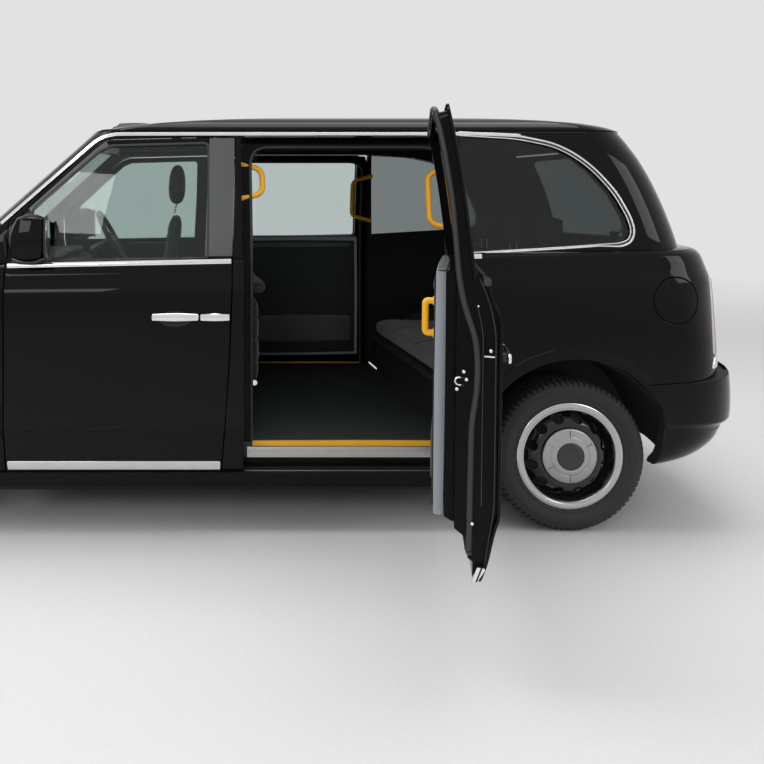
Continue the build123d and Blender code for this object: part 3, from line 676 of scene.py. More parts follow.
def panel_mesh(f, loop, holes=(), lift=1.2, step=24.0, r=2.2, depth=9.0, out=1, rings=3):
    """Skin over the surface f inside an outline, its edges rounded and folded inwards: points, faces, normals."""
    loops = [np.asarray(loop, float)] + [np.asarray(h, float) for h in holes]
    loops = [p if (turn_of(p) > 0) == (k == 0) else p[::-1] for k, p in enumerate(loops)]
    inner = [shift(p, r) for p in loops]
    lo, hi = loops[0].min(0), loops[0].max(0)
    nx, ny = (max(2, int(d / step)) for d in hi - lo)
    across, up = np.linspace(lo[0], hi[0], nx + 1), np.linspace(lo[1], hi[1], ny + 1)
    grid = np.stack(np.meshgrid(across, up), -1).reshape(-1, 2)
    grid = grid[inside(grid, inner)]
    edge = np.concatenate(inner)
    if len(grid):
        near = [np.linalg.norm(edge - p, axis=1).min() for p in grid]
        grid = grid[np.array(near) >= 0.55 * step]
    flat = np.concatenate([edge, grid])
    edges, at = [], 0
    for p in inner:
        n = len(p)
        edges += [(at + i, at + (i + 1) % n) for i in range(n)]
        at += n
    v2, _, tris, source, _, _ = geometry.delaunay_2d_cdt([Vector(p) for p in flat], edges, [], 0, 1e-5)
    uv = np.array([tuple(v) for v in v2])
    tris = np.array([t for t in tris if len(t) == 3])
    tris = tris[inside(uv[tris].mean(1), inner)]
    back = {o: i for i, olds in enumerate(source) for o in olds}
    nrm = out * surface_normal(f, uv)
    pts = f(*uv.T) + lift * nrm
    a, b, c = pts[tris[:, 0]], pts[tris[:, 1]], pts[tris[:, 2]]
    flip = np.sum(np.cross(b - a, c - a) * nrm[tris[:, 0]], 1) < 0
    tris[flip] = tris[flip][:, ::-1]
    verts, normals, faces, at = [pts], [nrm], tris.tolist(), 0
    total = len(pts)
    for p, q in zip(loops, inner):
        n = len(p)
        base = f(*q.T)
        side = f(*p.T) - base
        n0 = out * surface_normal(f, q)
        side -= np.sum(side * n0, 1)[:, None] * n0
        side = unit(side)
        ids = [back[at + i] for i in range(n)]
        at += n
        rows = [(k / rings * math.pi / 2, r * (1 - math.cos(k / rings * math.pi / 2))) for k in range(1, rings + 1)]
        for a, down in rows + [(math.pi / 2, depth)]:
            go = r * math.sin(a)
            verts.append(base + side * go + n0 * (lift - down))
            normals.append(n0 * math.cos(a) + side * math.sin(a))
            new = list(range(total, total + n))
            total += n
            for i in range(n):
                j = (i + 1) % n
                faces.append((ids[i], new[i], new[j], ids[j]))
            ids = new
    verts, normals = np.concatenate(verts), np.concatenate(normals)
    fixed = []
    for face in faces:
        p = verts[list(face)]
        n = np.cross(p[1] - p[0], p[2] - p[0]) if len(face) == 3 else np.cross(p[2] - p[0], p[3] - p[1])
        fixed.append(face if n @ normals[list(face)].sum(0) > 0 else tuple(reversed(face)))
    return verts, fixed, normals


swing_joint = next(j for j in frame["joints"] if j["name"] == "rear_left_door_hinge")
HINGE = np.array(swing_joint["pos_m"]) / MM
SWING = np.array(Matrix.Rotation(-swing_joint["range_deg"][0] * DEG, 3, Vector(swing_joint["axis"]))).T


def swing(verts, normals=None):
    """Turns the left rear door's pieces from shut to where it stands open."""
    return (np.asarray(verts) - HINGE) @ SWING + HINGE, None if normals is None else np.asarray(normals) @ SWING


def put(name, shape, mat, body="cab", sides=None, smooth=35.0, stands_for=()):
    """Places a shape drawn for the left: on both sides, or as it is where the name has no {side} to fill in."""
    verts, faces, normals = (list(shape) + [None])[:3]
    for side in sides or (("left", "right") if "{side}" in name else ("left",)):
        v, n, f = np.asarray(verts, float), normals, faces
        if side == "right":
            flip = np.array([1, -1, 1])
            v, f = v * flip, [tuple(reversed(p)) for p in f]
            n = None if n is None else np.asarray(n) * flip
        on = body.format(side=side)
        if on == "rear_left_door":
            v, n = swing(v, n)
        piece = make(name.format(side=side), v, f, mat, on, n, smooth)
        if stands_for:
            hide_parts(*[node.format(side=side) for node in stands_for])


def joined(*shapes):
    """Several shapes as one."""
    verts, faces, normals, at = [], [], [], 0
    for shape in shapes:
        v, f, n = (list(shape) + [None])[:3]
        verts.append(np.asarray(v, float))
        faces += [tuple(i + at for i in face) for face in f]
        normals.append(n)
        at += len(v)
    keep = all(n is not None for n in normals)
    return np.concatenate(verts), faces, np.concatenate(normals) if keep else None


def turned(profile, n=96):
    """Closed (y, r) outline turned about the Y axis."""
    profile = np.asarray(profile, float)
    verts = [(r * math.cos(a), y, r * math.sin(a)) for a in np.arange(n) * 2 * math.pi / n for y, r in profile]
    m = len(profile)
    faces = [(i * m + k, i * m + (k + 1) % m, ((i + 1) % n) * m + (k + 1) % m, ((i + 1) % n) * m + k)
             for i in range(n) for k in range(m)]
    return np.array(verts), faces


def moved(shape, by):
    return (np.asarray(shape[0]) + np.array(by, float), *shape[1:])


def rotated(shape, degrees, axis):
    return (np.asarray(shape[0]) @ np.array(Matrix.Rotation(degrees * DEG, 3, axis)).T, *shape[1:])


def pillow(lo, hi, r, cuts=6):
    """Rounded box between two corners."""
    lo, hi = np.array(lo, float), np.array(hi, float)
    centre, half = (lo + hi) / 2, (hi - lo) / 2
    r = np.minimum(r, half * 0.999)
    t = np.tan(np.linspace(-1, 1, cuts + 1) * math.pi / 4)
    verts, faces, at, m = [], [], 0, cuts + 1
    for axis in range(3):
        for sgn in (-1, 1):
            for u in t:
                for w in t:
                    d = np.zeros(3)
                    d[axis], d[(axis + 1) % 3], d[(axis + 2) % 3] = sgn, u, w
                    verts.append(centre + (half - r) * d + r * d / np.linalg.norm(d))
            for i in range(cuts):
                for j in range(cuts):
                    q = (at + i * m + j, at + i * m + j + 1, at + (i + 1) * m + j + 1, at + (i + 1) * m + j)
                    faces.append(q if sgn > 0 else q[::-1])
            at += m * m
    return np.array(verts), faces


def block(x0, x1, y0, y1, z0, z1, r=2.0):
    """Box with lightly rounded edges."""
    return pillow((x0, y0, z0), (x1, y1, z1), r, 3)


def pipe(path, r, n=12, caps=True, flat=1.0):
    """Round bar along points; flat squashes it."""
    path = np.array(path, float)
    tangent = np.gradient(path, axis=0)
    tangent /= np.linalg.norm(tangent, axis=1)[:, None]
    up = np.array([0, 0, 1.0]) if abs(tangent[0, 2]) < 0.9 else np.array([1.0, 0, 0])
    side = np.cross(tangent[0], up)
    side /= np.linalg.norm(side)
    verts = []
    for p, t in zip(path, tangent):
        side = side - t * (side @ t)
        side /= np.linalg.norm(side)
        other = np.cross(t, side)
        verts += [p + r * (math.cos(a) * side + flat * math.sin(a) * other) for a in np.arange(n) * 2 * math.pi / n]
    return loft(np.array(verts).reshape(len(path), n, 3), caps)


def loft(loops, caps=True):
    """Closed sections joined in their order."""
    m, n = len(loops), len(loops[0])
    faces = [(i * n + k, i * n + (k + 1) % n, (i + 1) * n + (k + 1) % n, (i + 1) * n + k)
             for i in range(m - 1) for k in range(n)]
    if caps:
        faces += [tuple(range(n))[::-1], tuple((m - 1) * n + k for k in range(n))]
    return np.concatenate([np.asarray(q, float) for q in loops]), faces


def band(path, left, right):
    """Outline of a strip beside an open (x, z) path."""
    p = np.asarray(path, float)
    t = np.gradient(p, axis=0)
    n = np.stack([-t[:, 1], t[:, 0]], -1) / np.linalg.norm(t, axis=1)[:, None]
    return np.concatenate([p + n * np.reshape(left, (-1, 1)), (p - n * np.reshape(right, (-1, 1)))[::-1]])


def bend(points, radius=30.0, step=8.0):
    """Open 3-D route with its corners rounded."""
    pts = [np.array(q, float) for q in points]
    out = [pts[0]]
    for a, b, c in zip(pts, pts[1:], pts[2:]):
        u, v = (a - b) / np.linalg.norm(a - b), (c - b) / np.linalg.norm(c - b)
        cut = min(radius, 0.45 * np.linalg.norm(a - b), 0.45 * np.linalg.norm(c - b))
        p, q = b + u * cut, b + v * cut
        for k in np.linspace(0, 1, 7):
            out.append((1 - k) ** 2 * p + 2 * k * (1 - k) * b + k * k * q)
    out.append(pts[-1])
    dense = [out[0]]
    for a, b in zip(out, out[1:]):
        k = max(1, int(np.linalg.norm(b - a) / step))
        dense += [a + (b - a) * j / k for j in range(1, k + 1)]
    return np.array(dense)


def repeat_tree():
    """Geometry nodes: copies of a piece, each moved and turned by one more step."""
    tree = bpy.data.node_groups.new("repeat_in_steps", "GeometryNodeTree")
    for label, kind in (("Geometry", "NodeSocketGeometry"), ("Piece", "NodeSocketObject"), ("Count", "NodeSocketInt"),
                        ("Step", "NodeSocketVector"), ("Turn", "NodeSocketVector"), ("Finish", "NodeSocketMaterial")):
        tree.interface.new_socket(label, in_out="INPUT", socket_type=kind)
    tree.interface.new_socket("Geometry", in_out="OUTPUT", socket_type="NodeSocketGeometry")
    new, link = tree.nodes.new, tree.links.new
    gin, gout = new("NodeGroupInput"), new("NodeGroupOutput")
    line = new("GeometryNodeMeshLine")
    line.mode = "OFFSET"
    link(gin.outputs["Count"], line.inputs["Count"])
    link(gin.outputs["Step"], line.inputs["Offset"])
    turn = new("ShaderNodeVectorMath")
    turn.operation = "SCALE"
    link(gin.outputs["Turn"], turn.inputs[0])
    link(new("GeometryNodeInputIndex").outputs[0], turn.inputs["Scale"])
    euler = new("FunctionNodeEulerToRotation")
    link(turn.outputs[0], euler.inputs[0])
    info = new("GeometryNodeObjectInfo")
    link(gin.outputs["Piece"], info.inputs["Object"])
    copies = new("GeometryNodeInstanceOnPoints")
    link(line.outputs[0], copies.inputs["Points"])
    link(info.outputs["Geometry"], copies.inputs["Instance"])
    link(euler.outputs[0], copies.inputs["Rotation"])
    real, finish = new("GeometryNodeRealizeInstances"), new("GeometryNodeSetMaterial")
    link(copies.outputs[0], real.inputs[0])
    link(real.outputs[0], finish.inputs["Geometry"])
    link(gin.outputs["Finish"], finish.inputs["Material"])
    link(finish.outputs[0], gout.inputs[0])
    return tree


REPEAT = repeat_tree()


def applied(obj):
    """A new mesh of an object with its modifiers applied."""
    return bpy.data.meshes.new_from_object(obj.evaluated_get(bpy.context.evaluated_depsgraph_get()))


def points_of(mesh):
    co = np.empty(len(mesh.vertices) * 3)
    mesh.vertices.foreach_get("co", co)
    return co.reshape(-1, 3)


def repeated(shape, count, step=(0, 0, 0), turn=(0, 0, 0), mat="black_plastic"):
    """A shape and its copies as one; steps in mm, turns in degrees."""
    mesh = bpy.data.meshes.new("unit")
    mesh.from_pydata((np.asarray(shape[0]) * MM).tolist(), [], [list(f) for f in shape[1]])
    unit, host = bpy.data.objects.new("unit", mesh), bpy.data.objects.new("host", bpy.data.meshes.new("host"))
    for o in (unit, host):
        scene.collection.objects.link(o)
    mod = host.modifiers.new("repeat", "NODES")
    mod.node_group = REPEAT
    values = {"Piece": unit, "Count": count, "Step": [v * MM for v in step], "Turn": [v * DEG for v in turn],
              "Finish": MAT[mat]}
    for item in REPEAT.interface.items_tree:
        if item.in_out == "INPUT" and item.name in values:
            mod[item.identifier] = values[item.name]
    done = applied(host)
    points, faces = points_of(done), [tuple(f.vertices) for f in done.polygons]
    for o in (unit, host):
        bpy.data.objects.remove(o)
    bpy.data.meshes.remove(done)
    return points / MM, faces


# ---------------------------------------------------------------- body skins
def poly(form, points, **kw):
    """Side-view (x, z) points as (s, v)."""
    points = np.asarray(points, float)
    return form.sv(x=points[:, 0], z=points[:, 1], **kw)


def belt(x):
    """Height of the waist moulding."""
    return 1199.0 + 0.02 * np.asarray(x, float)


def arc(cx, cz, r, a0, a1, n=48):
    """(x, z) points on a circle, angles in degrees from +x."""
    return [(cx + r * math.cos(a * DEG), cz + r * math.sin(a * DEG)) for a in np.linspace(a0, a1, n)]


def wrap(form, sgn):
    """Surface round one end in (q, v): q is arc length from the centre line, positive on the left."""
    def f(q, v):
        q = np.asarray(q, float)
        v = v + 0 * q
        cx, full = form.round_end(v, sgn)
        p = form.at(cx + sgn * (full - np.abs(q)), v)
        p[..., 1] *= np.where(q < 0, -1, 1)
        return p
    return f


def to_q(form, sv, sgn):
    """(s, v) points on the left as (q, v) round one end."""
    s, v = sv[:, 0], sv[:, 1]
    cx, full = form.round_end(v, sgn)
    return np.stack([full - sgn * (s - cx), v], -1)


FRONT_GLASS = [(-900, 1196), (-112, 1210), (-104, 1728), (-545, 1716), (-600, 1692), (-900, 1425)]
REAR_GLASS = [(112, 1214), (955, 1230), (955, 1728), (112, 1731)]
QUARTER_GLASS = [
    (1068, 1236), (1508, 1262), (1740, 1279), (1775, 1294), (1788, 1330), (1775, 1388), (1723, 1496),
    (1638, 1600), (1560, 1665), (1470, 1712), (1309, 1746), (1045, 1762),
]
ARCH = (AXLE_X, TYRE_R, ARCH_R)


def skin(name, form, loop, holes=(), body="cab", grow=0.4, **kw):
    """Painted panel inside an (s, v) outline."""
    put(name, panel_mesh(form.at, inset(loop, -grow), holes, **kw), "body_paint", body)


low_front = rounded([(-1004.5, 268), (-55, 268), (-22, 762), (-6, 1180), (-5.5, 1198.5), (-1004.5, 1179)],
                    [16, 20, 900, 0, 0, 0])
skin("front_{side}_door_skin", lower, poly(lower, low_front), body="front_{side}_door")
up_front = rounded([(-1004.5, 1181), (-5.3, 1201), (17, 1757), (-560, 1743), (-612, 1722), (-1004.5, 1380)],
                   [0, 0, 12, 40, 60, 60])
front_pane = rounded(FRONT_GLASS, [14, 16, 22, 40, 60, 60])
skin("front_{side}_window_frame", green, poly(green, up_front), [poly(green, front_pane)], body="front_{side}_door")
low_rear = rounded([(50, 268), (1020, 268), (1020, 1219.5), (50, 1200.5)], [16, 16, 0, 0])
skin("rear_{side}_door_skin", lower, poly(lower, low_rear), body="rear_{side}_door")
up_rear = rounded([(50, 1202), (1020, 1221.5), (1020, 1758), (50, 1758)], [0, 0, 12, 12])
rear_pane = rounded(REAR_GLASS, [16, 16, 40, 40])
skin("rear_{side}_window_frame", green, poly(green, up_rear), [poly(green, rear_pane)], body="rear_{side}_door")

# Rear quarter, below the waist: arch, bumper edge, tail lamp and charge flap cut out.
LAMP_X = 2150           # front edge of the tail lamps
FLAP = (1935, 1029)     # middle of the charge flap
GATE_Y = 605.5          # body's edge beside the tailgate


def bumper_edge(x):
    """Height of the rear bumper's upper edge on the side."""
    return 655 + (x - 1798) * 0.0726


gate_edge = lower.yz([(GATE_Y, z) for z in (705, 800, 900, 1000, 1100, 1200, 1243)])
path = [(1030, SILL_Z)] + arc(*ARCH, 188.6, 46.6, 70) + [(x, bumper_edge(x) + 5.5) for x in np.arange(1830, 2380, 25)]
lamp_loop = np.concatenate([
    lower.sv(x=np.full(12, 2149.5), z=np.linspace(774, 1121, 12)),
    [(s, lower.v_at(LAMP_X, 1121)) for s in np.linspace(2190, 2400, 12)],
    lower.sv(y=np.full(12, 639.0), z=np.linspace(1121, 774, 12)),
    [(s, lower.v_at(LAMP_X, 774)) for s in np.linspace(2400, 2190, 12)],
])
quarter = np.concatenate([poly(lower, path), gate_edge,
                          poly(lower, [(x, belt(x)) for x in np.arange(2200, 1035, -25)]),
                          poly(lower, [(1030, 1219)])])
flap_hole, flap_edge, blank_edge = (poly(lower, arc(*FLAP, r, 0, 354, 60)) for r in (103.4, 99.4, 102.4))
skin("quarter_{side}_skin", lower, quarter, [lamp_loop, flap_hole])
put("charge_flap_skin", panel_mesh(lower.at, flap_edge, step=20), "body_paint", "charge_flap")
put("right_flap_skin", panel_mesh(lower.at, blank_edge, step=20, lift=0.4), "body_paint", sides=("right",))
post_low = rounded([(-49, 268), (44.6, 268), (44.6, 1200.3), (0, 1199.3), (-17, 762)], [4, 4, 0, 0, 900])
skin("door_post_{side}_skin", lower, poly(lower, post_low), grow=0)

# Greenhouse: screen pillar, cant rail, door post, quarter pillar and tail pillar in one.
screen_y = lambda z: 706 - (z - 1172) * 77 / 585
gate_y = lambda z: np.where(z < 1240, GATE_Y, GATE_Y - (z - 1240) * 55 / 495)
zs = np.linspace(1215, 1781, 24)
house = np.concatenate([
    poly(green, [(-1010, 1200), (-1010, 1383), (-960, 1426), (-800, 1565), (-615, 1728), (-561, 1748.3)]),
    poly(green, [(x, 1748.5 + (x + 561) * 0.0242) for x in np.arange(-530, 20, 25)]),
    poly(green, [(22.4, 1762), (15, 1500), (5, 1300), (0.5, 1202), (44.6, 1203), (44.6, 1300), (44.6, 1500)]),
    poly(green, [(x, 1763) for x in np.arange(45, 1026, 24)]),
    poly(green, [(1025.4, z) for z in (1762, 1500, 1300, 1224)]),
    poly(green, [(x, belt(x) + 3) for x in np.arange(1050, 1900, 25)]),
    green.sv(y=gate_y(np.linspace(1252, 1741, 20)), z=np.linspace(1252, 1741, 20)),
    green.sv(y=np.array([549.0, 549.0]), z=np.array([1755.0, 1780])),
    poly(green, [(x, 1781) for x in np.arange(1880, -680, -25)]),
    green.sv(y=screen_y(zs[::-1]), z=zs[::-1], sgn=-1),
])
quarter_pane = rounded(QUARTER_GLASS, [12, 900, 60, 50, 60, 90, 200, 250, 250, 250, 600, 8], 14)
skin("greenhouse_{side}_skin", green, house, [poly(green, quarter_pane)], grow=0, step=20)
for name, face, half, heights, out in (("screen_header", green.front, 627.0, (1757.5, 1769, 1781), -1),
                                       ("tail_header", green.rear, 549.5, (1741.0, 1760, 1781), 1)):
    loop = [(-half, z) for z in heights] + [(half, z) for z in heights[::-1]]
    put(name, panel_mesh(face, loop, depth=4, out=out), "body_paint")

# Tailgate: panel and window frame.
gate_low = rounded([(-599.5, 735.5), (599.5, 735.5), (599.5, 1240), (599, 1243), (-599, 1243), (-599.5, 1240)],
                   [40, 40, 0, 0, 0, 0])
put("tailgate_skin", panel_mesh(lower.rear, gate_low), "body_paint", "tailgate")
gate_up = rounded([(-598, 1252), (598, 1252), (545, 1735), (-545, 1735)], [0, 0, 30, 30])
gate_pane = rounded([(-505, 1262), (505, 1262), (455, 1690), (380, 1712), (-380, 1712), (-455, 1690)],
                    [30, 30, 50, 50, 50, 50])
put("tailgate_frame", panel_mesh(green.rear, gate_up, [gate_pane]), "body_paint", "tailgate")

# Roof: rows of its section carried round both halves.
def roof_row(v, n=150):
    """Left half of one level of the roof, its points closer together at both ends."""
    (rear_x, rear_q), (front_x, front_q) = roof.round_end(v, 1), roof.round_end(v, -1)
    total = rear_q + rear_x - front_x + front_q
    share = (1 - np.cos(np.linspace(0, np.pi, n))) / 2 * 0.4 + np.linspace(0, 1, n) * 0.6
    return roof.at(rear_x + rear_q - total * share, np.full(n, v))


roof_rows = [roof_row(v) for v in np.concatenate([[0, 4, 10], np.linspace(20, roof.top_v, 22)])]
loops = [np.concatenate([r, (r * [1, -1, 1])[-2:0:-1]]) for r in roof_rows]
hem = [loops[0] + [0, 0, -2.0]]
pts = np.concatenate(hem + [p + [0, 0, 1.2] for p in loops] + [[[720, 0, 1873.5]]])
m = len(loops[0])
faces = [(k * m + i, k * m + (i + 1) % m, (k + 1) * m + (i + 1) % m, (k + 1) * m + i)
         for k in range(len(loops)) for i in range(m)]
faces += [(len(loops) * m + i, len(loops) * m + (i + 1) % m, len(pts) - 1) for i in range(m)]
make("roof_skin", pts, [tuple(reversed(f)) for f in faces], "body_paint")

# Nose: bonnet, wings and bumper.
tip = np.linspace(-2367, -2330, 14)
xs = np.concatenate([tip, np.linspace(-2325, -1466, 60)])
profile = nose.top(xs, 0 * xs)
run = np.concatenate([[0], np.cumsum(np.hypot(np.diff(profile[:, 0]), np.diff(profile[:, 2])))])


def sag(y):
    """How far a bowed end falls back at y."""
    return BOW - np.sqrt(BOW**2 - y**2)


def bonnet_surface(u, y):
    """Surface in run length from the nose and y."""
    x = np.interp(u, run, xs) + sag(y) * np.interp(u, run, np.linspace(1, 0, len(xs)))
    return nose.top(x, y)


half_b = lambda x: 540.5 + (x + 2500) * 145 / 1040
u_of = lambda x, y: np.interp(x - sag(y) * np.interp(x, [-2367, -1466], [1, 0]), xs, run)
edge = [(float(u_of(x, half_b(x))), half_b(x)) for x in np.linspace(-2280, -1470, 36)]
bonnet = np.array([(4.0, y) for y in np.linspace(-565, 565, 40)] + edge
                  + [(run[-1] - 2, y) for y in np.linspace(680, -680, 40)] + [(u, -y) for u, y in edge[::-1]])
put("bonnet_skin", panel_mesh(bonnet_surface, bonnet), "body_paint", "bonnet")
f_nose = wrap(nose, -1)
HEADLAMP, FOG = (645, 815), (690, 405)  # (y, z) of their middles
WING_X = -1011          # wing's rear edge
SEAM_Z = 634.0          # bumper's upper edge
zs = np.linspace(642, 922, 10)
wing = np.concatenate([
    poly(nose, [(WING_X, z) for z in (SILL_Z, 600, 900, 1100, 1165)], sgn=-1),
    nose.sv(x=np.full(8, WING_X), y=np.linspace(885, 700, 8), sgn=-1),
    nose.sv(x=np.linspace(-1020, -1455, 18), y=np.full(18, 692.0), sgn=-1),
    nose.sv(x=np.linspace(-1462, -2300, 34), y=half_b(np.linspace(-1462, -2300, 34)) + 6.5, sgn=-1),
    nose.sv(y=np.linspace(560, 452, 5), z=np.full(5, 923.0), sgn=-1),
    nose.sv(y=np.full(10, 451.5), z=zs[::-1], sgn=-1),
    nose.sv(y=np.linspace(480, 860, 12), z=np.full(12, 641.5), sgn=-1),
    poly(nose, [(x, 641.5) for x in np.linspace(-2180, -1835, 14)], sgn=-1),
    poly(nose, arc(-AXLE_X, TYRE_R, ARCH_R, 135.8, -8.6, 70), sgn=-1),
])


def on_nose(points):
    """(y, z) outline on the left of the nose as (q, v)."""
    return to_q(nose, nose.yz(points, -1), -1)


def q_loop(points):
    """(y, z) outline across both sides of the nose as (q, v)."""
    points = np.asarray(points, float)
    flat = np.stack([np.maximum(np.abs(points[:, 0]), 0.01), points[:, 1]], -1)
    return on_nose(flat) * np.stack([np.where(points[:, 0] > 0, -1, 1), np.ones(len(points))], -1)


put("front_{side}_wing_skin", panel_mesh(f_nose, to_q(nose, wing, -1), [on_nose(arc(*HEADLAMP, 118.6, 0, 354, 60))]),
    "body_paint")
zs = np.linspace(264, SEAM_Z, 12)
left_edge = poly(nose, [(-AXLE_X - math.sqrt(ARCH_R**2 - (z - TYRE_R)**2), z) for z in zs], sgn=-1)
b_top = np.concatenate([to_q(nose, poly(nose, [(x, SEAM_Z) for x in np.linspace(-1840, -2180, 14)], sgn=-1), -1),
                        on_nose([(y, SEAM_Z) for y in np.linspace(860, 0, 24)])])
b_low = np.concatenate([on_nose([(y, 264) for y in np.linspace(0, 860, 24)]),
                        to_q(nose, poly(nose, [(x, 264.0) for x in np.linspace(-2150, -1945, 10)], sgn=-1), -1)])
half_loop = np.concatenate([to_q(nose, left_edge, -1), b_top[:-1]])
other = b_low[1:]
loop = np.concatenate([half_loop, [b_top[-1]], half_loop[::-1] * [-1, 1], other[::-1] * [-1, 1], [b_low[0]], other])
mouth = rounded([(379, 331), (-379, 331), (-379, 479), (379, 479)], 0, 24)
put("front_bumper_skin", panel_mesh(f_nose, loop, [q_loop(mouth)]), "body_paint")

# Rear bumper, round both corners; its lower part tucks under.
f_tail = wrap(bumper_form, 1)
side_line = [(1800, 654.5), (1866, 573), (1886.5, 481), (1886.5, 287)]
foot_y = float(bumper_form.half(2050.0, bumper_form.v_at(2050, 287)))
rb_side = to_q(bumper_form, poly(bumper_form, np.concatenate([
    np.linspace(side_line[k], side_line[k + 1], 9)[:-1] for k in range(3)]
    + [[(x, 287.0) for x in np.linspace(1886.5, 2050, 9)]])), 1)
rb_foot = to_q(bumper_form, bumper_form.yz([(y, 287) for y in np.linspace(foot_y - 20, 0, 24)]), 1)
rb_top = to_q(bumper_form, bumper_form.yz([(y, 704) for y in np.linspace(0, 760, 22)]), 1)
rb_roof = to_q(bumper_form, poly(bumper_form, [(x, bumper_edge(x)) for x in np.linspace(2280, 1830, 20)]), 1)
half_loop = np.concatenate([rb_roof, rb_side, rb_foot[:-1]])
loop = np.concatenate([rb_top[1:], half_loop, [rb_foot[-1]], (half_loop * [-1, 1])[::-1],
                       (rb_top[1:] * [-1, 1])[::-1], [rb_top[0]]])
put("rear_bumper_skin", panel_mesh(f_tail, loop, out=-1, step=16), "body_paint")

# ---------------------------------------------------------------- trim on the body
def strip(name, form, path, left, right, mat, body="cab", lift=4.0, r=1.6, sgn=1):
    """Moulding that follows the body's surface along an (x, z) path."""
    loop = poly(form, band(path, left, right), sgn=sgn)
    put(name, panel_mesh(form.at, loop, lift=lift, step=30, r=r, depth=lift + 2), mat, body)


def patch(name, form, points, mat, body="cab", lift=2.4, r=1.6, radii=0):
    """Flat moulding inside a side-view outline."""
    loop = poly(form, rounded(points, radii))
    put(name, panel_mesh(form.at, loop, lift=lift, step=30, r=r, depth=lift + 2), mat, body)


def rail(xs, section):
    """Solid moulding along x; section(x) gives its (y, z) outline."""
    return loft([[(x, y, z) for y, z in section(x)] for x in xs])


def belt_section(x):
    z, w = belt(x), float(lower.half(x, lower.v_at(x, belt(x) - 12)))
    return [(out - w, z + up) for out, up in ((-2.5, -10), (-4, -7), (-3, 5), (1, 10), (14, 11), (14, -10))]


cant = bend([(-1044, 1361), (-835, 1548), (-612, 1747), (-540, 1771), (-200, 1772), (500, 1772), (1150, 1772),
             (1330, 1764)], 70, 14)
strip("cant_moulding_{side}", green, cant, 7, 8, "bright_trim", lift=5, sgn=-1)
around = bend(QUARTER_GLASS, 60, 12)
along = np.clip(np.clip((around[:, 0] - 1640) / 100, 0, 1) + (around[:, 1] > 1500), 0, 1)
strip("quarter_inner_bead_{side}", green, around, -0.5, 5.0, "bright_trim", lift=3.5, r=1.2)
strip("quarter_gap_{side}", green, around, -5.0, 6 + 8 * along, "black_plastic", lift=2.2, r=0.6)
tail = around[np.argmax(around[:, 0] > 1090):]
grown = np.clip((tail[:, 0] - 1640) / 100, 0, 1)
grown[np.argmax(tail[:, 0]):] = 1
strip("quarter_outer_bead_{side}", green, tail, -6 - 8 * grown, 12 + 10 * grown, "bright_trim", lift=5)
for label, span, body in (("front", (-998, -9, 24), "front_{side}_door"),
                          ("rear", (52, 1017, 24), "rear_{side}_door"),
                          ("quarter", (1030, 1098, 4), "cab")):
    put(label + "_{side}_belt_moulding", rail(np.linspace(*span), belt_section), "bright_trim", body)
patch("door_post_applique_{side}", green, [(-124, 1217), (-1, 1217), (17, 1752), (-98, 1752)], "satin_grey",
      "front_{side}_door")
strip("front_{side}_window_garnish", green, bend([(-903, 1415), (-742, 1563), (-600, 1692), (-560, 1720)], 60, 14),
      20, 1, "satin_grey", "front_{side}_door", lift=3, sgn=-1)
for label, pane, door in (("front", front_pane, "front_{side}_door"), ("rear", rear_pane, "rear_{side}_door")):
    edge, hole = (poly(green, inset(pane, d)) for d in (-7, 3))
    put(label + "_{side}_window_rubber", panel_mesh(green.at, edge, [hole], lift=3, r=2, depth=14, step=30),
        "black_plastic", door)
for label, x0, x1, door in (("front", -999, -56, "front_{side}_door"), ("rear", 54, 1016, "rear_{side}_door")):
    patch(label + "_{side}_sill_moulding", lower, [(x0, 271), (x1, 271), (x1, 317), (x0, 317)], "bright_trim", door,
          4.5, 2.5, 6)
strip("front_{side}_door_crease", lower, bend([(-933, 452), (-600, 472), (-270, 491)], 40, 20), 3, 3, "body_paint",
      "front_{side}_door", lift=4.5, r=2.8)


def flare(form, cx, z_low, sgn):
    """Lip round a wheel arch: folds in at the opening and fades out at its crease."""
    a0 = math.asin((z_low - TYRE_R) / ARCH_R) / DEG
    sections = []
    for a in np.linspace(180 - a0 if sgn > 0 else a0, 46.6 if sgn > 0 else 133.4, 64) * DEG:
        section = []
        for r, off, deep in ((441, 9, 26), (440.4, 10, 8), (442, 12, 1), (448, 13, 0), (462, 10.5, 0), (478, 6, 0),
                             (487, 3.5, 0), (489, 0.2, 0), (480, -4, 0), (446, -4, 26)):
            x, z = cx + r * math.cos(a), TYRE_R + r * math.sin(a)
            x = max(x, 1025.0) if sgn > 0 else min(x, -1010.0)
            y = form.side(np.array([x]), np.array([z]))[0, 1]
            section.append((x, y - off + deep, z))
        sections.append(section)
    return loft(sections)


put("rear_arch_lip_{side}", flare(lower, AXLE_X, SILL_Z, 1), "body_paint")
put("front_arch_lip_{side}", flare(nose, -AXLE_X, SILL_Z, -1), "body_paint")

# Outer grips: a long bar and a fixed key end on short feet over a flat matte black patch, painted shade standing for
# the recess under the grip.
for label, x0, x1, door in (("front", -360, -19, "front_{side}_door"), ("rear", 76, 389, "rear_{side}_door")):
    key = x1 - 132
    put(label + "_{side}_grip", joined(pillow((x0, -969, 942), (key - 2, -953, 980), (12, 7, 14)),
                                       pillow((key + 2, -969, 942), (x1, -948, 980), (8, 7, 14))),
        "bright_trim", door, stands_for=(label + "_{side}_handles",))
    put(label + "_{side}_grip_feet", joined(block(x0 + 6, x0 + 34, -956, -936, 947, 975, 5),
                                            block(key + 8, x1 - 6, -950, -936, 946, 976, 4)), "black_plastic", door)
    cup = [((x0 + key) / 2 + 74 * math.cos(a), 950 + 34 * math.sin(a)) for a in np.arange(40) * math.pi / 20]
    # painted shade: a thin flat matte black patch on the skin where the grip's recess is
    put(label + "_{side}_recess", panel_mesh(lower.at, poly(lower, cup), lift=1.8, r=1.5, depth=2), "recess_black",
        door)
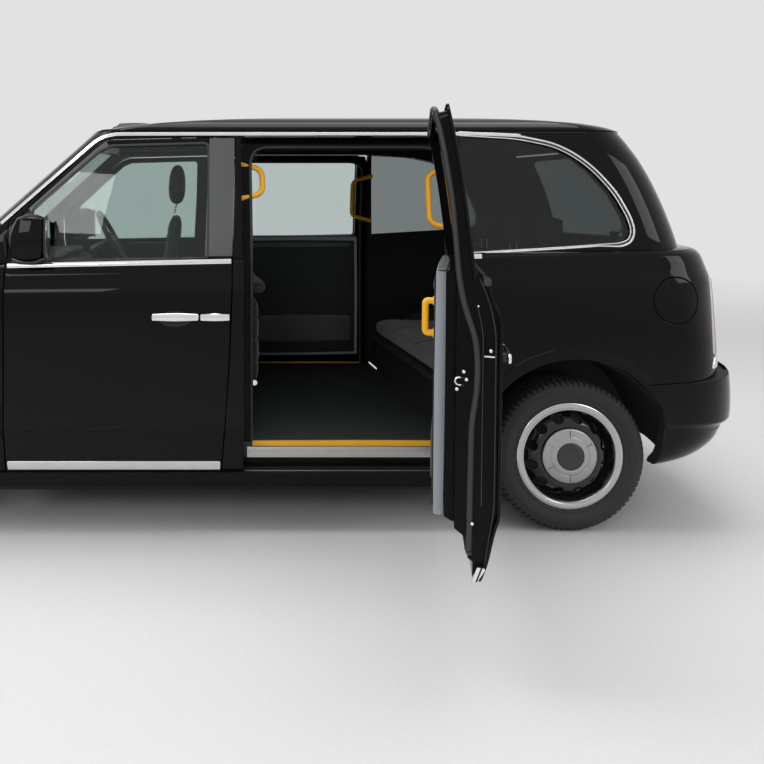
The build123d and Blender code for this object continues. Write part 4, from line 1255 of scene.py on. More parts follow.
put("front_{side}_pull", joined(pillow((-195, -776, 940), (-165, -752, 1070), 10),
                                *[block(-193, -167, -791, -766, z, z + 20, 6) for z in (944, 1046)]),
    "grey_plastic", "front_{side}_door")

# ---------------------------------------------------------------- rear doors
def prism(section, x0, x1, r=0):
    """(y, z) outline carried along x."""
    pts = rounded(section, r, 400) if r else np.array(section, float)
    return loft([[(x, y, z) for y, z in pts] for x in (x0, x1)])


DOOR_BOX = [(-868, 1218), (-892, 1190), (-908, 1139), (-931, 1066), (-931, 482), (-919, 436), (-893, 320),
            (-876, 274), (-860, 270), (-861, 326), (-846, 333), (-846, 391), (-806, 420), (-806, 1222)]


def tapered(shape):
    """Trim that thins towards the hinge."""
    v = np.array(shape[0], float)
    v[:, 1] -= (v[:, 0] - 126) * 0.05
    return v, shape[1]


def rear_part(part, shape, mat, **kw):
    put("rear_{side}_" + part, shape, mat, "rear_{side}_door", **kw)


rear_part("door_box", joined(prism(DOOR_BOX, 68, 1002, 6),
                             tapered(prism([(-809, 416), (-777, 432), (-777, 1224), (-809, 1226)], 122, 700, 6))),
          "shut_face", stands_for=("rear_{side}_door",))
frame_in = rounded([(68, 1206), (1002, 1222), (1002, 1740), (68, 1740)], [0, 0, 14, 14])
frame_skin = panel_mesh(green.at, poly(green, frame_in), [poly(green, rear_pane)], lift=-4, r=1.5, depth=46, step=40)
back = panel_mesh(lambda u, v: green.at(u, v) + [0, 52, 0], poly(green, frame_in), [poly(green, rear_pane)],
                  lift=0, r=3, depth=8, step=40, out=-1)
rear_part("frame_inside", joined(frame_skin, back), "shut_face")
rear_part("door_trim", tapered(pillow((126, -780, 424), (970, -738.5, 1226), (16, 14, 22), 8)), "pale_trim")
rear_part("trim_ledge", tapered(pillow((134, -778, 1219), (964, -745, 1229), (12, 12, 5), 6)), "satin_grey")
# painted shade: a dark sheet over the middle of the pale door trim, leaving only its rim and ledge pale
rear_part("trim_inset", tapered(pillow((150, -744, 446), (948, -737, 1196), (12, 3, 12), 6)), "cabin_lining")
rear_part("trim_pocket", tapered(joined(pillow((190, -740, 520), (915, -731, 700), (10, 5, 26), 6),
                                        pillow((190, -739, 1150), (915, -733, 1182), (24, 3, 15), 6))),
          "grey_plastic")
seal = [(66, -850, 360), (64, -851, 560), (64, -853, 760), (64, -867, 850), (64, -869, 940), (64, -862, 1020),
        (64, -828, 1120), (64, -812, 1205), (66, -790, 1450), (68, -758, 1640), (74, -733, 1742), (130, -728, 1750),
        (540, -728, 1750), (950, -728, 1750), (1002, -738, 1735), (1006, -790, 1450), (1006, -814, 1260),
        (1006, -842, 1170), (1006, -852, 900), (1006, -850, 500), (1004, -848, 360), (960, -850, 340),
        (540, -850, 338), (110, -850, 340), (68, -850, 352)]
rear_part("door_seal", pipe(bend(seal, 60, 10), 9.5, 12), "rubber")
lip = [(66, -893, 300), (62, -921, 500), (62, -921, 1040), (62, -900, 1140), (62, -872, 1206)]
fold = [(67, -884, 500), (67, -884, 1040), (67, -866, 1120)]
rear_part("door_lip", joined(*[pipe(bend(line, 40, 12), r, 8) for line, r in ((lip, 2.6), (fold, 1.8))]), "rubber")


def stud(x, y, z, r, h=3.0):
    """Domed bolt head that faces forwards."""
    ring = [[(x - h * math.sin(k * math.pi / 8), y + r * math.cos(k * math.pi / 8) * math.cos(a),
              z + r * math.cos(k * math.pi / 8) * math.sin(a)) for a in np.arange(12) * math.pi / 6]
            for k in range(4)]
    return loft([[(x + 1, q[1], q[2]) for q in ring[0]]] + ring)


catch = [(67, -816 + 13 * math.sin(a), 882 + 12 * math.cos(a)) for a in np.linspace(-0.3, 3.5, 14)]
bolts = [(67.5, -829, 912, 6), (67.5, -837, 888, 6), (67.5, -809, 856, 6), (67.5, -907, 983, 6.5),
         (55, -858, 446, 5.5), (67.5, -869, 1120, 4)]
rear_part("latch_bolts", joined(*[stud(*bolt) for bolt in bolts], pipe(catch, 2.6, 8),
                                block(65, 70, -922, -887, 962, 968, 2)), "bright_trim")
# painted shade: near-black blocks on the latch stand for its slots
rear_part("latch_slot", joined(*[block(66.6, 70, -830, -802, z, z + 6, 1) for z in (866, 890)]), "recess_black")
middle = np.mean(belt_section(52), axis=0)
rear_part("belt_end", prism((np.array(belt_section(52)) - middle) * 1.25 + middle, 47, 53), "rubber")
rear_part("sill_cap", prism([(-872, 270), (-896, 312), (-894, 318), (-873, 318), (-858, 272)], 46.5, 62),
          "bright_trim")
# painted shade: a thin near-black strip across the sill cap's front stands for a slot
rear_part("cap_slot", prism([(-874, 274), (-889, 319), (-884, 319), (-868, 272)], 46.1, 48), "recess_black")
rear_part("pull", joined(
    pipe(bend([(170, -738, 1012), (170, -713, 1012), (170, -713, 1118), (170, -738, 1118)], 16, 6), 11, 14),
    *[pillow((154, -742, z), (186, -736, z + 32), (10, 2, 10)) for z in (996, 1102)]), "yellow_plastic")

# Door opening in the body: flange, rubber seal, step and sill.
def lining_y(z):
    """y of the opening's inner edge, which leans in with the windows."""
    return max(-796.0, 68 - float(green.half(500.0, green.v_at(500, max(z, 1220)))))


def opening(x0, x1, z1, dy=0.0):
    """Route up one side of the opening, over it and down."""
    route = bend([(x0, 360), (x0, z1), (x1, z1), (x1, 360)], 90, 14)
    return np.array([(x, lining_y(z) + dy, z) for x, z in route])


share = np.linspace(0, 1, 150)
pair = [np.stack([np.interp(share, np.linspace(0, 1, len(q)), q[:, i]) for i in range(3)], -1)
        for q in (opening(47, 1023, 1760), opening(92, 985, 1716))]
put("opening_{side}_flange", loft([[p + [0, -2, 0], q + [0, -2, 0], q + [0, 3, 0], p + [0, 3, 0]]
                                   for p, q in zip(*pair)]), "shut_face")
put("opening_{side}_seal", pipe(opening(92, 985, 1716, 1), 8, 12), "rubber")
put("step_{side}_nosing", pillow((94, -816, 350), (984, -790, 377), (3, 9, 9), 4), "yellow_plastic",
    stands_for=("door_steps",))
rib = prism([(-812, 0), (-815.5, 1), (-815.5, 3), (-812, 4)], 70, 1000)
ribs = repeated(moved(rib, (0, 0, 308)), 7, step=(0, 0, 5.6), mat="aluminium")
put("step_{side}_tread", joined(prism([(-813, 303), (-806, 303), (-806, 350), (-813, 350)], 70, 1000), ribs),
    "aluminium")
put("step_{side}_riser", prism([(-812, 264), (-806, 264), (-806, 303), (-812, 303)], 60, 1010), "shut_face")
sill_edge = [(-884, 252), (-886, 256), (-884, 260), (-868, 264.5), (-864, 262), (-866, 254)]
put("sill_{side}_edge", rail(np.linspace(52, 1018, 3), lambda x: sill_edge), "aluminium")

# ---------------------------------------------------------------- mirrors
case = pillow((-975, -1018, 1199), (-806, -896, 1409), (62, 50, 58), 12)
v = case[0].copy()
v[:, 0] += np.clip((-806 - v[:, 0]) / 169, 0, 1) * (34 * np.clip((v[:, 2] - 1230) / 180, -0.3, 1) ** 2 - 8)
put("front_{side}_mirror_case", (v, case[1]), "body_paint", "front_{side}_door", stands_for=("front_{side}_mirror",))
for part, shape, mat in (
        ("glass", pillow((-818, -1006, 1217), (-803, -908, 1392), (6, 34, 40), 8), "mirror_glass"),
        ("shade", pillow((-824, -1014, 1205), (-806, -900, 1403), (8, 44, 50), 8), "black_plastic"),
        ("arm", joined(pillow((-962, -925, 1190), (-862, -800, 1232), (24, 30, 18), 6),
                       pillow((-985, -905, 1186), (-845, -850, 1212), (30, 16, 11), 6)), "black_plastic")):
    put("front_{side}_mirror_" + part, shape, mat, "front_{side}_door")


# ---------------------------------------------------------------- tail lamps
far = lambda z: float(lower.yz([(648, z)])[0, 0])


def cell(x0, x1, z0, z1, r):
    """Outline between two distances from the lamps' rear end and two heights."""
    return rounded([(far(z) - x, lower.v_at(LAMP_X, z)) for x, z in ((x1, z0), (x0, z0), (x0, z1), (x1, z1))], r)


def lamp_part(part, mat, outline, hole=(), **kw):
    put("tail_lamp_{side}_" + part, panel_mesh(lower.at, outline, hole, **kw), mat)


LAMP_LOW, LAMP_HIGH, PALE_X = 779, 1116, 2190
tail_v = [lower.v_at(LAMP_X, z) for z in (LAMP_LOW, LAMP_HIGH)]
white = rounded([(LAMP_X + 2, tail_v[0]), (PALE_X - 1, tail_v[0]), (PALE_X - 1, tail_v[1]), (LAMP_X + 2, tail_v[1])],
                [16, 2, 2, 16])
red = rounded([(PALE_X, tail_v[0]), (far(LAMP_LOW), tail_v[0]), (far(LAMP_HIGH), tail_v[1]), (PALE_X, tail_v[1])],
              [2, 14, 14, 2])
lamp_part("red", "lamp_red", red, lift=4, r=4, depth=7)
lamp_part("pale", "pale_lens", white, lift=3, r=3, depth=6)
foot_lamp = poly(lower, rounded([(2122, 716), (2205, 718), (2205, 768), (2150, 768)], 8))
lamp_part("foot", "bright_trim", foot_lamp, lift=5, r=4, depth=7)
lamp_part("reversing", "pale_lens", cell(30, 84, 850, 980, 16), lift=7, r=3, depth=5)
lamp_part("core", "lamp_core", cell(12, 102, 800, 1096, 26), [cell(24, 90, 812, 1084, 20)], lift=6.5, r=2.5, depth=5)
lamp_part("signal", "amber_lens", cell(30, 84, 990, 1074, 16), lift=7, r=3, depth=5)
for k in range(4):
    z = 822 + 5.5 * k
    lamp_part(f"rib_{k + 1}", "lamp_core", cell(30, 84, z, z + 3, 1), lift=6, r=1, depth=3)

# ---------------------------------------------------------------- wheels
def tread_block(line, a0, a1, slant, depth=7):
    """Rubber block on the tread: (y, r) line, between two shares of the pitch, slanted by degrees per mm."""
    a0, a1 = a0 * PITCH, a1 * PITCH
    verts = []
    for a in (a0, (a0 + a1) / 2, a1):
        for y, r in line:
            t = (a + slant * y) * DEG
            verts += [(r * math.cos(t), y, r * math.sin(t)),
                      ((r - depth) * math.cos(t), y, (r - depth) * math.sin(t))]
    m = len(line)
    faces = []
    for k in range(2):
        o, q = 2 * m * k, 2 * m * (k + 1)
        for i in range(m - 1):
            faces += [(o + 2 * i, o + 2 * i + 2, q + 2 * i + 2, q + 2 * i),
                      (o + 2 * i + 1, q + 2 * i + 1, q + 2 * i + 3, o + 2 * i + 3)]
        faces += [(o, q, q + 1, o + 1), (o + 2 * m - 2, o + 2 * m - 1, q + 2 * m - 1, q + 2 * m - 2)]
    for o, flip in ((0, 1), (4 * m, -1)):
        for i in range(m - 1):
            faces.append(tuple([o + 2 * i, o + 2 * i + 1, o + 2 * i + 3, o + 2 * i + 2][::flip]))
    return np.array(verts), faces


BLOCKS = 76
PITCH = 360 / BLOCKS
shoulder = [(-103, 314), (-98, 322), (-92, 328.2), (-84, 331.6), (-74, 333.4)]
outer, inner = [(-66, 333.6), (-50, 333.8), (-38, 333.9)], [(-30, 333.9), (-12, 334), (-4, 334)]
other_side = lambda line: [(-y, r) for y, r in line[::-1]]
row = [tread_block(*block_) for block_ in (
    (shoulder, 0, 0.72, 0.012), (outer, 0.3, 1.08, -0.02), (inner, 0, 0.86, 0.03),
    (other_side(inner), 0.2, 1.06, 0.03), (other_side(outer), 0, 0.78, -0.02),
    (other_side(shoulder), 0.2, 0.92, 0.012))]
tread = repeated(joined(*row), BLOCKS, turn=(0, PITCH, 0), mat="tyre")
wall = [(-84, 237), (-93, 238), (-98, 243), (-99.5, 248), (-98, 253), (-102, 262), (-105.5, 272), (-107.2, 284),
        (-107.3, 291), (-106.4, 292), (-106.2, 298), (-105.6, 299), (-103.5, 309), (-99, 316), (-91, 322.5),
        (-78, 326.5), (-40, 327), (0, 327)]
wall += [(-y, r) for y, r in wall[-2::-1]] + [(79, 222), (-79, 222)]
tyre = joined(turned(wall, 144), tread)

disc_y = monotone(*zip((20, -78), (60, -78), (108, -78), (116, -82), (126, -90), (136, -91), (152, -86), (178, -58),
                       (188, -42), (199, -38)))


def disc_surface(x, z):
    return np.stack([x, disc_y(np.hypot(x, z)), z], -1)


def ring_loop(r, n=72):
    return np.array([(r * math.cos(a), r * math.sin(a)) for a in np.arange(n) * 2 * math.pi / n])


SLOTS, SLOT_R = 12, 165
slots = []
for k in range(SLOTS):
    a = (k + 0.5) * 360 / SLOTS * DEG
    u, w = np.array([math.cos(a), math.sin(a)]), np.array([-math.sin(a), math.cos(a)])
    slots.append(np.array([u * (SLOT_R + 19 * math.cos(t)) + w * 22 * math.sin(t)
                           for t in np.arange(28) * math.pi / 14]))
disc = panel_mesh(disc_surface, ring_loop(197, 96), slots + [ring_loop(30, 32)], lift=0, step=9, r=3)
rim = turned([(-91, 236), (-94, 232), (-92, 220), (-84, 214), (-70, 208), (-40, 198), (-20, 197), (78, 199),
              (88, 214), (91, 236), (84, 237), (80, 226), (-80, 226), (-84, 237)], 96)
trim_ring = turned([(-90, 236.6), (-96, 235.6), (-99, 231), (-99.5, 224), (-97, 214), (-92, 206.5), (-86, 203.5),
                    (-70, 202.5), (-70, 199), (-88, 200), (-95, 205), (-94, 222), (-90, 230)], 144)
cap_disc = turned([(-90, 121.8), (-94, 121.4), (-97, 119), (-98.5, 115), (-100.5, 92), (-101.4, 88), (-100.4, 86.6),
                   (-101.6, 85), (-103, 66), (-102.5, 61), (-99, 59), (-99, 50), (-88, 50), (-88, 119)], 96)
cap_centre = turned([(-98, 58.6), (-101.5, 58.2), (-103.4, 56), (-104, 52), (-104, 36), (-102.6, 34.5), (-102.6, 0.2),
                     (-94, 0.2), (-94, 58)], 72)
# painted shade: dark strips on the silver cap stand for its engraved radial grooves
groove_shade = joined(*[rotated(block(66, 113, -102.2, -98, -0.7, 0.7, 0.3), 30 + 60 * k, "Y") for k in range(6)])
hub = turned([(-74, 26), (-74, 54), (-10, 56), (16, 62), (18, 184), (24, 187), (28, 184), (30, 144), (44, 144),
              (44, 52), (32, 26)], 96)
valve = pipe([(146, -52, -146), (150, -64, -150), (153, -84, -153)], 4.2, 10)
for end, x in (("front", -AXLE_X), ("rear", AXLE_X)):
    for part, shape, mat, node in (
            ("tyre_tread", tyre, "tyre", "tyre"), ("wheel_rim", rim, "wheel_steel", "wheel"),
            ("wheel_disc", disc, "wheel_steel", ""), ("trim_ring", trim_ring, "silver_trim", ""),
            ("hub_cap", cap_disc, "silver_paint", ""), ("cap_centre", cap_centre, "black_plastic", ""),
            ("cap_grooves", groove_shade, "satin_grey", ""), ("brake", hub, "bare_steel", ""),
            ("valve", valve, "black_plastic", "")):
        put(end + "_{side}_" + part, moved(shape, (x, -WHEEL_Y, TYRE_R)), mat, end + "_{side}_wheel",
            smooth=30 if node == "tyre" else 35, stands_for=(end + "_{side}_" + node,) if node else ())

# ---------------------------------------------------------------- cabin
def swell(shape, cell, cap):
    """Blows a block up into a stuffed form: evenly meshed, swollen by pressure, each point held to cap mm."""
    mesh = bpy.data.meshes.new("form")
    mesh.from_pydata((shape[0] * MM).tolist(), [], [list(f) for f in shape[1]])
    obj = bpy.data.objects.new("form", mesh)
    scene.collection.objects.link(obj)
    grid = obj.modifiers.new("grid", "REMESH")
    grid.mode, grid.voxel_size = "VOXEL", cell * MM
    even = applied(obj)
    obj.modifiers.clear()
    obj.data = even
    rest = points_of(even)
    cloth = obj.modifiers.new("cloth", "CLOTH")
    cloth.settings.use_pressure = True
    cloth.settings.uniform_pressure_force = 4
    cloth.settings.effector_weights.gravity = 0
    cloth.point_cache.frame_end = 20
    for frame_no in range(1, 21):
        scene.frame_set(frame_no)
    puffed = applied(obj)
    obj.modifiers.clear()
    go = points_of(puffed) - rest
    far = np.linalg.norm(go, axis=1)
    new = rest + go * np.minimum(1, cap * MM / np.maximum(far, 1e-9))[:, None]
    bpy.data.meshes.remove(puffed)
    scene.frame_set(1)
    even.vertices.foreach_set("co", new.ravel())
    obj.modifiers.new("finer", "SUBSURF").levels = 1
    fine = applied(obj)
    result = points_of(fine) / MM, [tuple(f.vertices) for f in fine.polygons]
    bpy.data.objects.remove(obj)
    bpy.data.meshes.remove(fine)
    return result


SEAM_W, SEAM_DEEP = 7, 9    # sewn channels


def cushion(name, corners, y0, y1, cell, cap, nodes=(), across=(), along=(), bolster=0.0, r=26):
    """Stuffed pad on a side-view quadrilateral: low front, low rear, top rear, top front.
    across and along are sewn channels on its face as shares of its length and width."""
    a, b, c, d = (np.array(q, float) for q in corners)
    size = np.array([np.linalg.norm(b - a), y1 - y0, np.linalg.norm(d - a)])
    thin = int(np.argmin(size * [1, 9, 1]))
    inset = cap * 0.55
    verts, faces = swell(pillow((inset, inset, inset), tuple(size - inset), r, 10), cell, cap)
    verts = np.clip(verts, -2, size + 2)
    t = np.clip(verts / size, 0, 1)
    face = np.clip((t[:, thin] - 0.45) / 0.3, 0, 1)
    run = t[:, 2 - thin] * size[2 - thin]
    side = t[:, 1] * size[1]
    dip = np.zeros(len(verts))
    for shares, way, length in ((across, run, size[2 - thin]), (along, side, size[1])):
        for q in shares:
            dip = np.maximum(dip, np.exp(-(((way - q * length) / SEAM_W) ** 2)))
    verts[:, thin] -= face * dip * SEAM_DEEP
    verts[:, thin] += face * bolster * np.clip((np.abs(t[:, 1] - 0.5) - 0.3) / 0.16, 0, 1) ** 2
    welt = np.exp(-(((t[:, thin] - 0.62) * size[thin] / 5) ** 2)) * 3.0
    middle = size / 2
    for k in (1, 2 - thin):
        edge = np.abs(verts[:, k] - middle[k]) > middle[k] - inset - 6
        verts[:, k] -= np.sign(verts[:, k] - middle[k]) * welt * edge
    u, w = verts[:, 0] / size[0], verts[:, 2] / size[2]
    flat = sum(k[:, None] * q for k, q in (((1 - u) * (1 - w), a), (u * (1 - w), b), (u * w, c), ((1 - u) * w, d)))
    piece = make(name, np.stack([flat[:, 0], verts[:, 1] + y0, flat[:, 1]], -1), faces, "seat_fabric", smooth=180)
    if nodes:
        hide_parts(*nodes)


def facing_front(corners):
    """The same pad with its padded face turned to the front."""
    return [corners[1], corners[0], corners[3], corners[2]]


cushion("driver_cushion", [(-768, 606), (-388, 606), (-398, 707), (-768, 716)], 144, 636, 15, 16, ("driver_seat",),
        across=(0.3, 0.55, 0.8), along=(0.2, 0.8), bolster=12)
cushion("driver_back", facing_front([(-392, 648), (-300, 648), (-204, 1398), (-284, 1398)]), 148, 632, 16, 16,
        across=(0.22, 0.42, 0.62, 0.82), along=(0.2, 0.8), bolster=10)
cushion("driver_headrest", facing_front([(-298, 1432), (-196, 1432), (-194, 1688), (-286, 1688)]), 258, 522, 10, 12,
        r=34)
put("driver_headrest_posts", joined(*[pipe([(-262, y, 1385), (-250, y, 1440)], 6.5, 12) for y in (335, 445)]),
    "bright_trim")
put("driver_seat_base", joined(block(-700, -322, 205, 575, 400, 602, 14),
                               *[block(-760, -320, y, y + 30, 371, 402, 6) for y in (215, 535)],
                               *[block(-740, -300, y, y + 50, 560, 640, 16) for y in (150, 580)]), "black_plastic")
put("driver_belt_buckle", joined(pillow((-372, 146, 690), (-346, 164, 770), 6),
                                 block(-366, -352, 148, 158, 764, 776, 2)), "black_plastic")
cushion("bench_cushion", [(1004, 596), (1512, 596), (1502, 702), (1004, 716)], -586, 586, 20, 18, ("rear_bench",),
        across=(0.35, 0.7), along=(0.335, 0.665))
cushion("bench_back", facing_front([(1500, 700), (1588, 700), (1716, 1178), (1642, 1178)]), -586, 586, 20, 16,
        across=(0.3, 0.65), along=(0.335, 0.665))
for k, y in enumerate(SEAT_ROW):
    cushion(f"bench_headrest_{k + 1}", facing_front([(1622, 1218), (1688, 1218), (1690, 1388), (1630, 1388)]),
            y - 117, y + 117, 10, 12, r=30)
    cushion(f"tip_up_pad_{k + 1}", [(98, 564), (158, 564), (158, 998), (98, 998)], y - 192, y + 192, 14, 10,
            ("tip_up_seats",), across=(0.25, 0.5, 0.75), r=22)
    cushion(f"tip_up_roll_{k + 1}", [(100, 1004), (196, 1004), (196, 1078), (100, 1078)], y - 186, y + 186, 12, 8,
            r=26)
    put(f"tip_up_hinge_{k + 1}", joined(*[pipe([(128, y + side * 192, 585), (128, y + side * 202, 585)], 13, 16)
                                          for side in (-1, 1)], block(96.5, 100, y - 150, y + 150, 540, 566, 2)),
        "bright_trim")
put("bench_headrest_posts", joined(*[pipe([(1652, y + dy, 1165), (1654, y + dy, 1225)], 6, 12)
                                     for y in SEAT_ROW for dy in (-40, 40)]), "bright_trim")
put("bench_base", block(1002, 1560, -588, 588, 571, 598, 6), "black_plastic")
slat = block(1039, 1045, -520, 520, 0, 9, 2)
put("bench_vent", repeated(moved(slat, (0, 0, 400)), 9, step=(0, 0, 17), mat="black_plastic"), "black_plastic")
for k, y in enumerate(SEAT_ROW):
    put(f"bench_belt_{k + 1}", joined(pillow((1478, y - 128, 712), (1502, y - 104, 790), 6),
                                      pillow((1478, y + 92, 712), (1500, y + 112, 760), 6)), "black_plastic")
    web = bend([(1668, y + 150, 1186), (1640, y + 150, 1160), (1560, y + 140, 880), (1515, y + 120, 728)], 40, 16)
    put(f"bench_webbing_{k + 1}", pipe(web - [10, 0, 0], 22, 10, flat=0.07), "rubber")

# Fixed pieces round the cabin.
put("front_{side}_door_card", joined(pillow((-772, -817, 478), (-88, -788.5, 1182), (18, 10, 18), 6),
                                     pillow((-700, -794, 690), (-240, -770, 742), (14, 12, 14), 6),
                                     pillow((-690, -793, 500), (-240, -776, 640), (16, 8, 20), 6)), "grey_plastic",
    "front_{side}_door")
hoop = bend([(83, -700, 1146), (83, -692, 1738), (83, 692, 1738), (83, 700, 1146)], 60, 14)
put("partition_rail", joined(block(66, 100, -786, 786, 1128, 1152, 8), pipe(hoop, 9, 12)), "grey_plastic")
put("dash_top", joined(pillow((-1102, -690, 1142), (-880, 690, 1170), (60, 60, 13), 8),
                       pillow((-960, 240, 1130), (-830, 540, 1186), (40, 60, 24), 8),
                       pillow((-860, -160, 1010), (-800, 120, 1140), (20, 16, 16), 6)), "black_plastic")
put("dash_screen", pillow((-806, -146, 1026), (-797, 106, 1128), (4, 8, 8), 6), "mirror_glass")
vent = repeated(moved(block(-806, -798, -52, 52, 0, 4, 1.5), (0, 0, 1042)), 6, step=(0, 0, 12), mat="recess_black")
put("dash_vents", joined(*[moved(vent, (0, y, 0)) for y in (-640, -250, 230, 690)]), "recess_black")

# ---------------------------------------------------------------- roof sign
POD = 260.0     # size of the block that a pod is shaped from


def wedge(lo, hi, r):
    """Rounded pod between a low and a high rectangle: (x0, x1, half width, z)."""
    height = hi[3] - lo[3]
    verts, faces = pillow((0, -POD, 0), (POD, POD, height), r, 8)
    t = verts[:, 2] / height
    x0, x1, half = (lo[k] + (hi[k] - lo[k]) * t for k in range(3))
    return np.stack([x0 + (x1 - x0) * verts[:, 0] / POD, verts[:, 1] / POD * half, verts[:, 2] + lo[3]], -1), faces


put("roof_sign_pod", wedge((-640, -378, 258, 1806), (-548, -392, 226, 1887), (30, 30, 24)), "black_plastic",
    stands_for=("roof_sign",))
lens_shape = pillow((-4, -196, -26), (4, 196, 26), (4, 12, 12), 6)
put("roof_sign_lens", moved(rotated(lens_shape, 48, "Y"), (-597, 0, 1850)), "sign_lens")

# ---------------------------------------------------------------- nose
def turned_x(profile, at, n=72):
    """(x, r) points turned about a fore-and-aft axis through at."""
    profile = np.asarray(profile, float)
    verts = [(x + at[0], r * math.cos(a) + at[1], r * math.sin(a) + at[2]) for a in np.arange(n) * 2 * math.pi / n
             for x, r in profile]
    m = len(profile)
    return np.array(verts), [(i * m + k, ((i + 1) % n) * m + k, ((i + 1) % n) * m + k + 1, i * m + k + 1)
                             for i in range(n) for k in range(m - 1)]


def lamp_ring(r, n=60):
    """(y, z) circle about the headlamp's centre."""
    return arc(*HEADLAMP, r, 0, 360 - 360 / n, n)


put("headlamp_{side}_cover", panel_mesh(f_nose, on_nose(lamp_ring(114)), lift=3, r=3, depth=4), "clear_cover",
    stands_for=("headlamps",))
put("headlamp_{side}_bezel", panel_mesh(f_nose, on_nose(lamp_ring(118)), [on_nose(lamp_ring(106))],
                                        lift=4.5, r=3, depth=12), "bright_trim")
front_ring = nose.at(*nose.yz(lamp_ring(111), -1).T) + [6, 0, 0]
rear_ring = front_ring * [0, 1, 1] + [-2172, 0, 0]
centre = np.array([0, -HEADLAMP[0], HEADLAMP[1]])
dish = [(front_ring - centre) * [1, r, r] + centre + (rear_ring - front_ring) * [k, 0, 0]
        for k, r in ((0, 1), (0.22, 0.95), (0.45, 0.84), (0.68, 0.68), (0.86, 0.52), (0.95, 0.42))]
put("headlamp_{side}_bowl", loft(dish, caps=False), "lamp_bowl")
ball = centre + [0, 0, 7]
put("headlamp_{side}_projector", turned_x([(-2244, 0.5), (-2243, 12), (-2238, 24), (-2229, 33), (-2218, 38)],
                                          ball, 48), "mirror_glass")
put("headlamp_{side}_collar", turned_x([(-2214, 38), (-2224, 40), (-2226, 45), (-2218, 50), (-2160, 56)], ball, 48),
    "recess_black")
glow = nose.at(*nose.yz(lamp_ring(97, 72), -1).T) + [17, 0, 0]
put("headlamp_{side}_ring", pipe(np.concatenate([glow, glow[:1]]), 6, 10, caps=False), "pale_lens")


bar = [(-3, -3.5), (-5, 0), (-3, 3.5), (10, 6), (10, -6)]
bars = [loft([[(x + out, y + aside, z) for out, aside in bar]
              for x, _, z in nose.front(np.full(9, float(y)), np.linspace(650, 912, 9))])
        for y in range(-425, 426, 50)]
put("grille_bars", joined(*bars), "bright_trim")


def frame_on_nose(name, half, z0, z1, width, mat, lift, r):
    """Rectangular surround that follows the nose."""
    edge, hole = (q_loop(rounded([(-h, low), (h, low), (h, high), (-h, high)], radius, 24))
                  for h, low, high, radius in ((half, z0, z1, r),
                                               (half - width, z0 + width, z1 - width, max(r - width, 4))))
    put(name, panel_mesh(f_nose, edge, [hole], lift=lift, r=3, depth=14), mat)


frame_on_nose("grille_surround", 452, 639, 925, 17, "bright_trim", 6, 7)
frame_on_nose("mouth_surround", 384, 326, 484, 10, "black_plastic", 3, 14)
hatch = [loft([[(x + 14, y - 3, z), (x + 14, y + 3, z), (x + 24, y + 3, z), (x + 24, y - 3, z)]
               for x, _, z in nose.front(np.full(5, float(y)), np.linspace(330, 482, 5))])
         for y in range(-360, 361, 30)]
hatch += [loft([[(x + 10, y, z - 4), (x + 10, y, z + 4), (x + 26, y, z + 4), (x + 26, y, z - 4)]
                for x, y, _ in nose.front(np.linspace(-378, 378, 15), np.full(15, float(z)))])
          for z in range(352, 457, 26)]
put("radiator_core", block(-2150, -2130, -430, 430, 322, 880, 4), "recess_black")
put("mouth_mesh", joined(*hatch), "black_plastic")
put("front_plate", pillow((-2397, -PLATE_HALF, 505), (-2389.5, PLATE_HALF, 616), (2, 6, 6), 6), "plate_white")
put("front_plate_plinth", pillow((-2391, -267, 498), (-2352, 267, 623), (6, 10, 10), 6), "black_plastic")
put("front_plate_screws", joined(*[turned_x([(-2399.5, 0.3), (-2399, 4), (-2397, 7)], (0, y, 560), 20)
                                   for y in (-SCREW_Y, SCREW_Y)]), "bright_trim")
fog, fog_in = (on_nose([(FOG[0] + a * math.cos(t), FOG[1] + b * math.sin(t)) for t in np.arange(36) * math.pi / 18])
               for a, b in ((52, 40), (40, 29)))
put("fog_lamp_{side}_ring", panel_mesh(f_nose, fog, [fog_in], lift=5, r=3, depth=6), "bright_trim")
put("fog_lamp_{side}_lens", panel_mesh(f_nose, fog_in, lift=2.5, r=1, depth=3), "lamp_clear")


def on_screen(y, z, off):
    """Point above the windscreen."""
    q = green.front(np.array([float(y)]), np.array([float(z)]))[0]
    return q + [-off * 0.72, 0, off * 0.72]


for k, (y0, y1) in enumerate(((585, -20), (-30, -600))):
    arm = [on_screen(y0, 1176, 20), on_screen(y0 - 60, 1196, 22), on_screen((y0 + y1) / 2, 1212, 18)]
    blade = [on_screen(y, 1200 + 10 * math.sin((y - y1) / (y0 - y1) * math.pi), 9)
             for y in np.linspace(y0 - 40, y1, 16)]
    pivot = turned_x([(-6, 0.5), (-6, 14), (10, 17)], on_screen(y0, 1172, 18), 24)
    put(f"wiper_{k + 1}", joined(pipe(bend(arm, 40, 12), 7, 10, flat=0.55), pipe(blade, 6, 10), pivot),
        "black_plastic")

# ---------------------------------------------------------------- tail
edge, hole = (inset(gate_pane, d) for d in (-9, 3))
put("rear_window_rubber", panel_mesh(green.rear, edge, [hole], lift=3, r=2, depth=12), "black_plastic", "tailgate")


def behind(y, z, off=0.0, form=lower):
    """Point behind the tail."""
    return form.rear(np.array([float(y)]), np.array([float(z)]))[0] + [off, 0, 0]


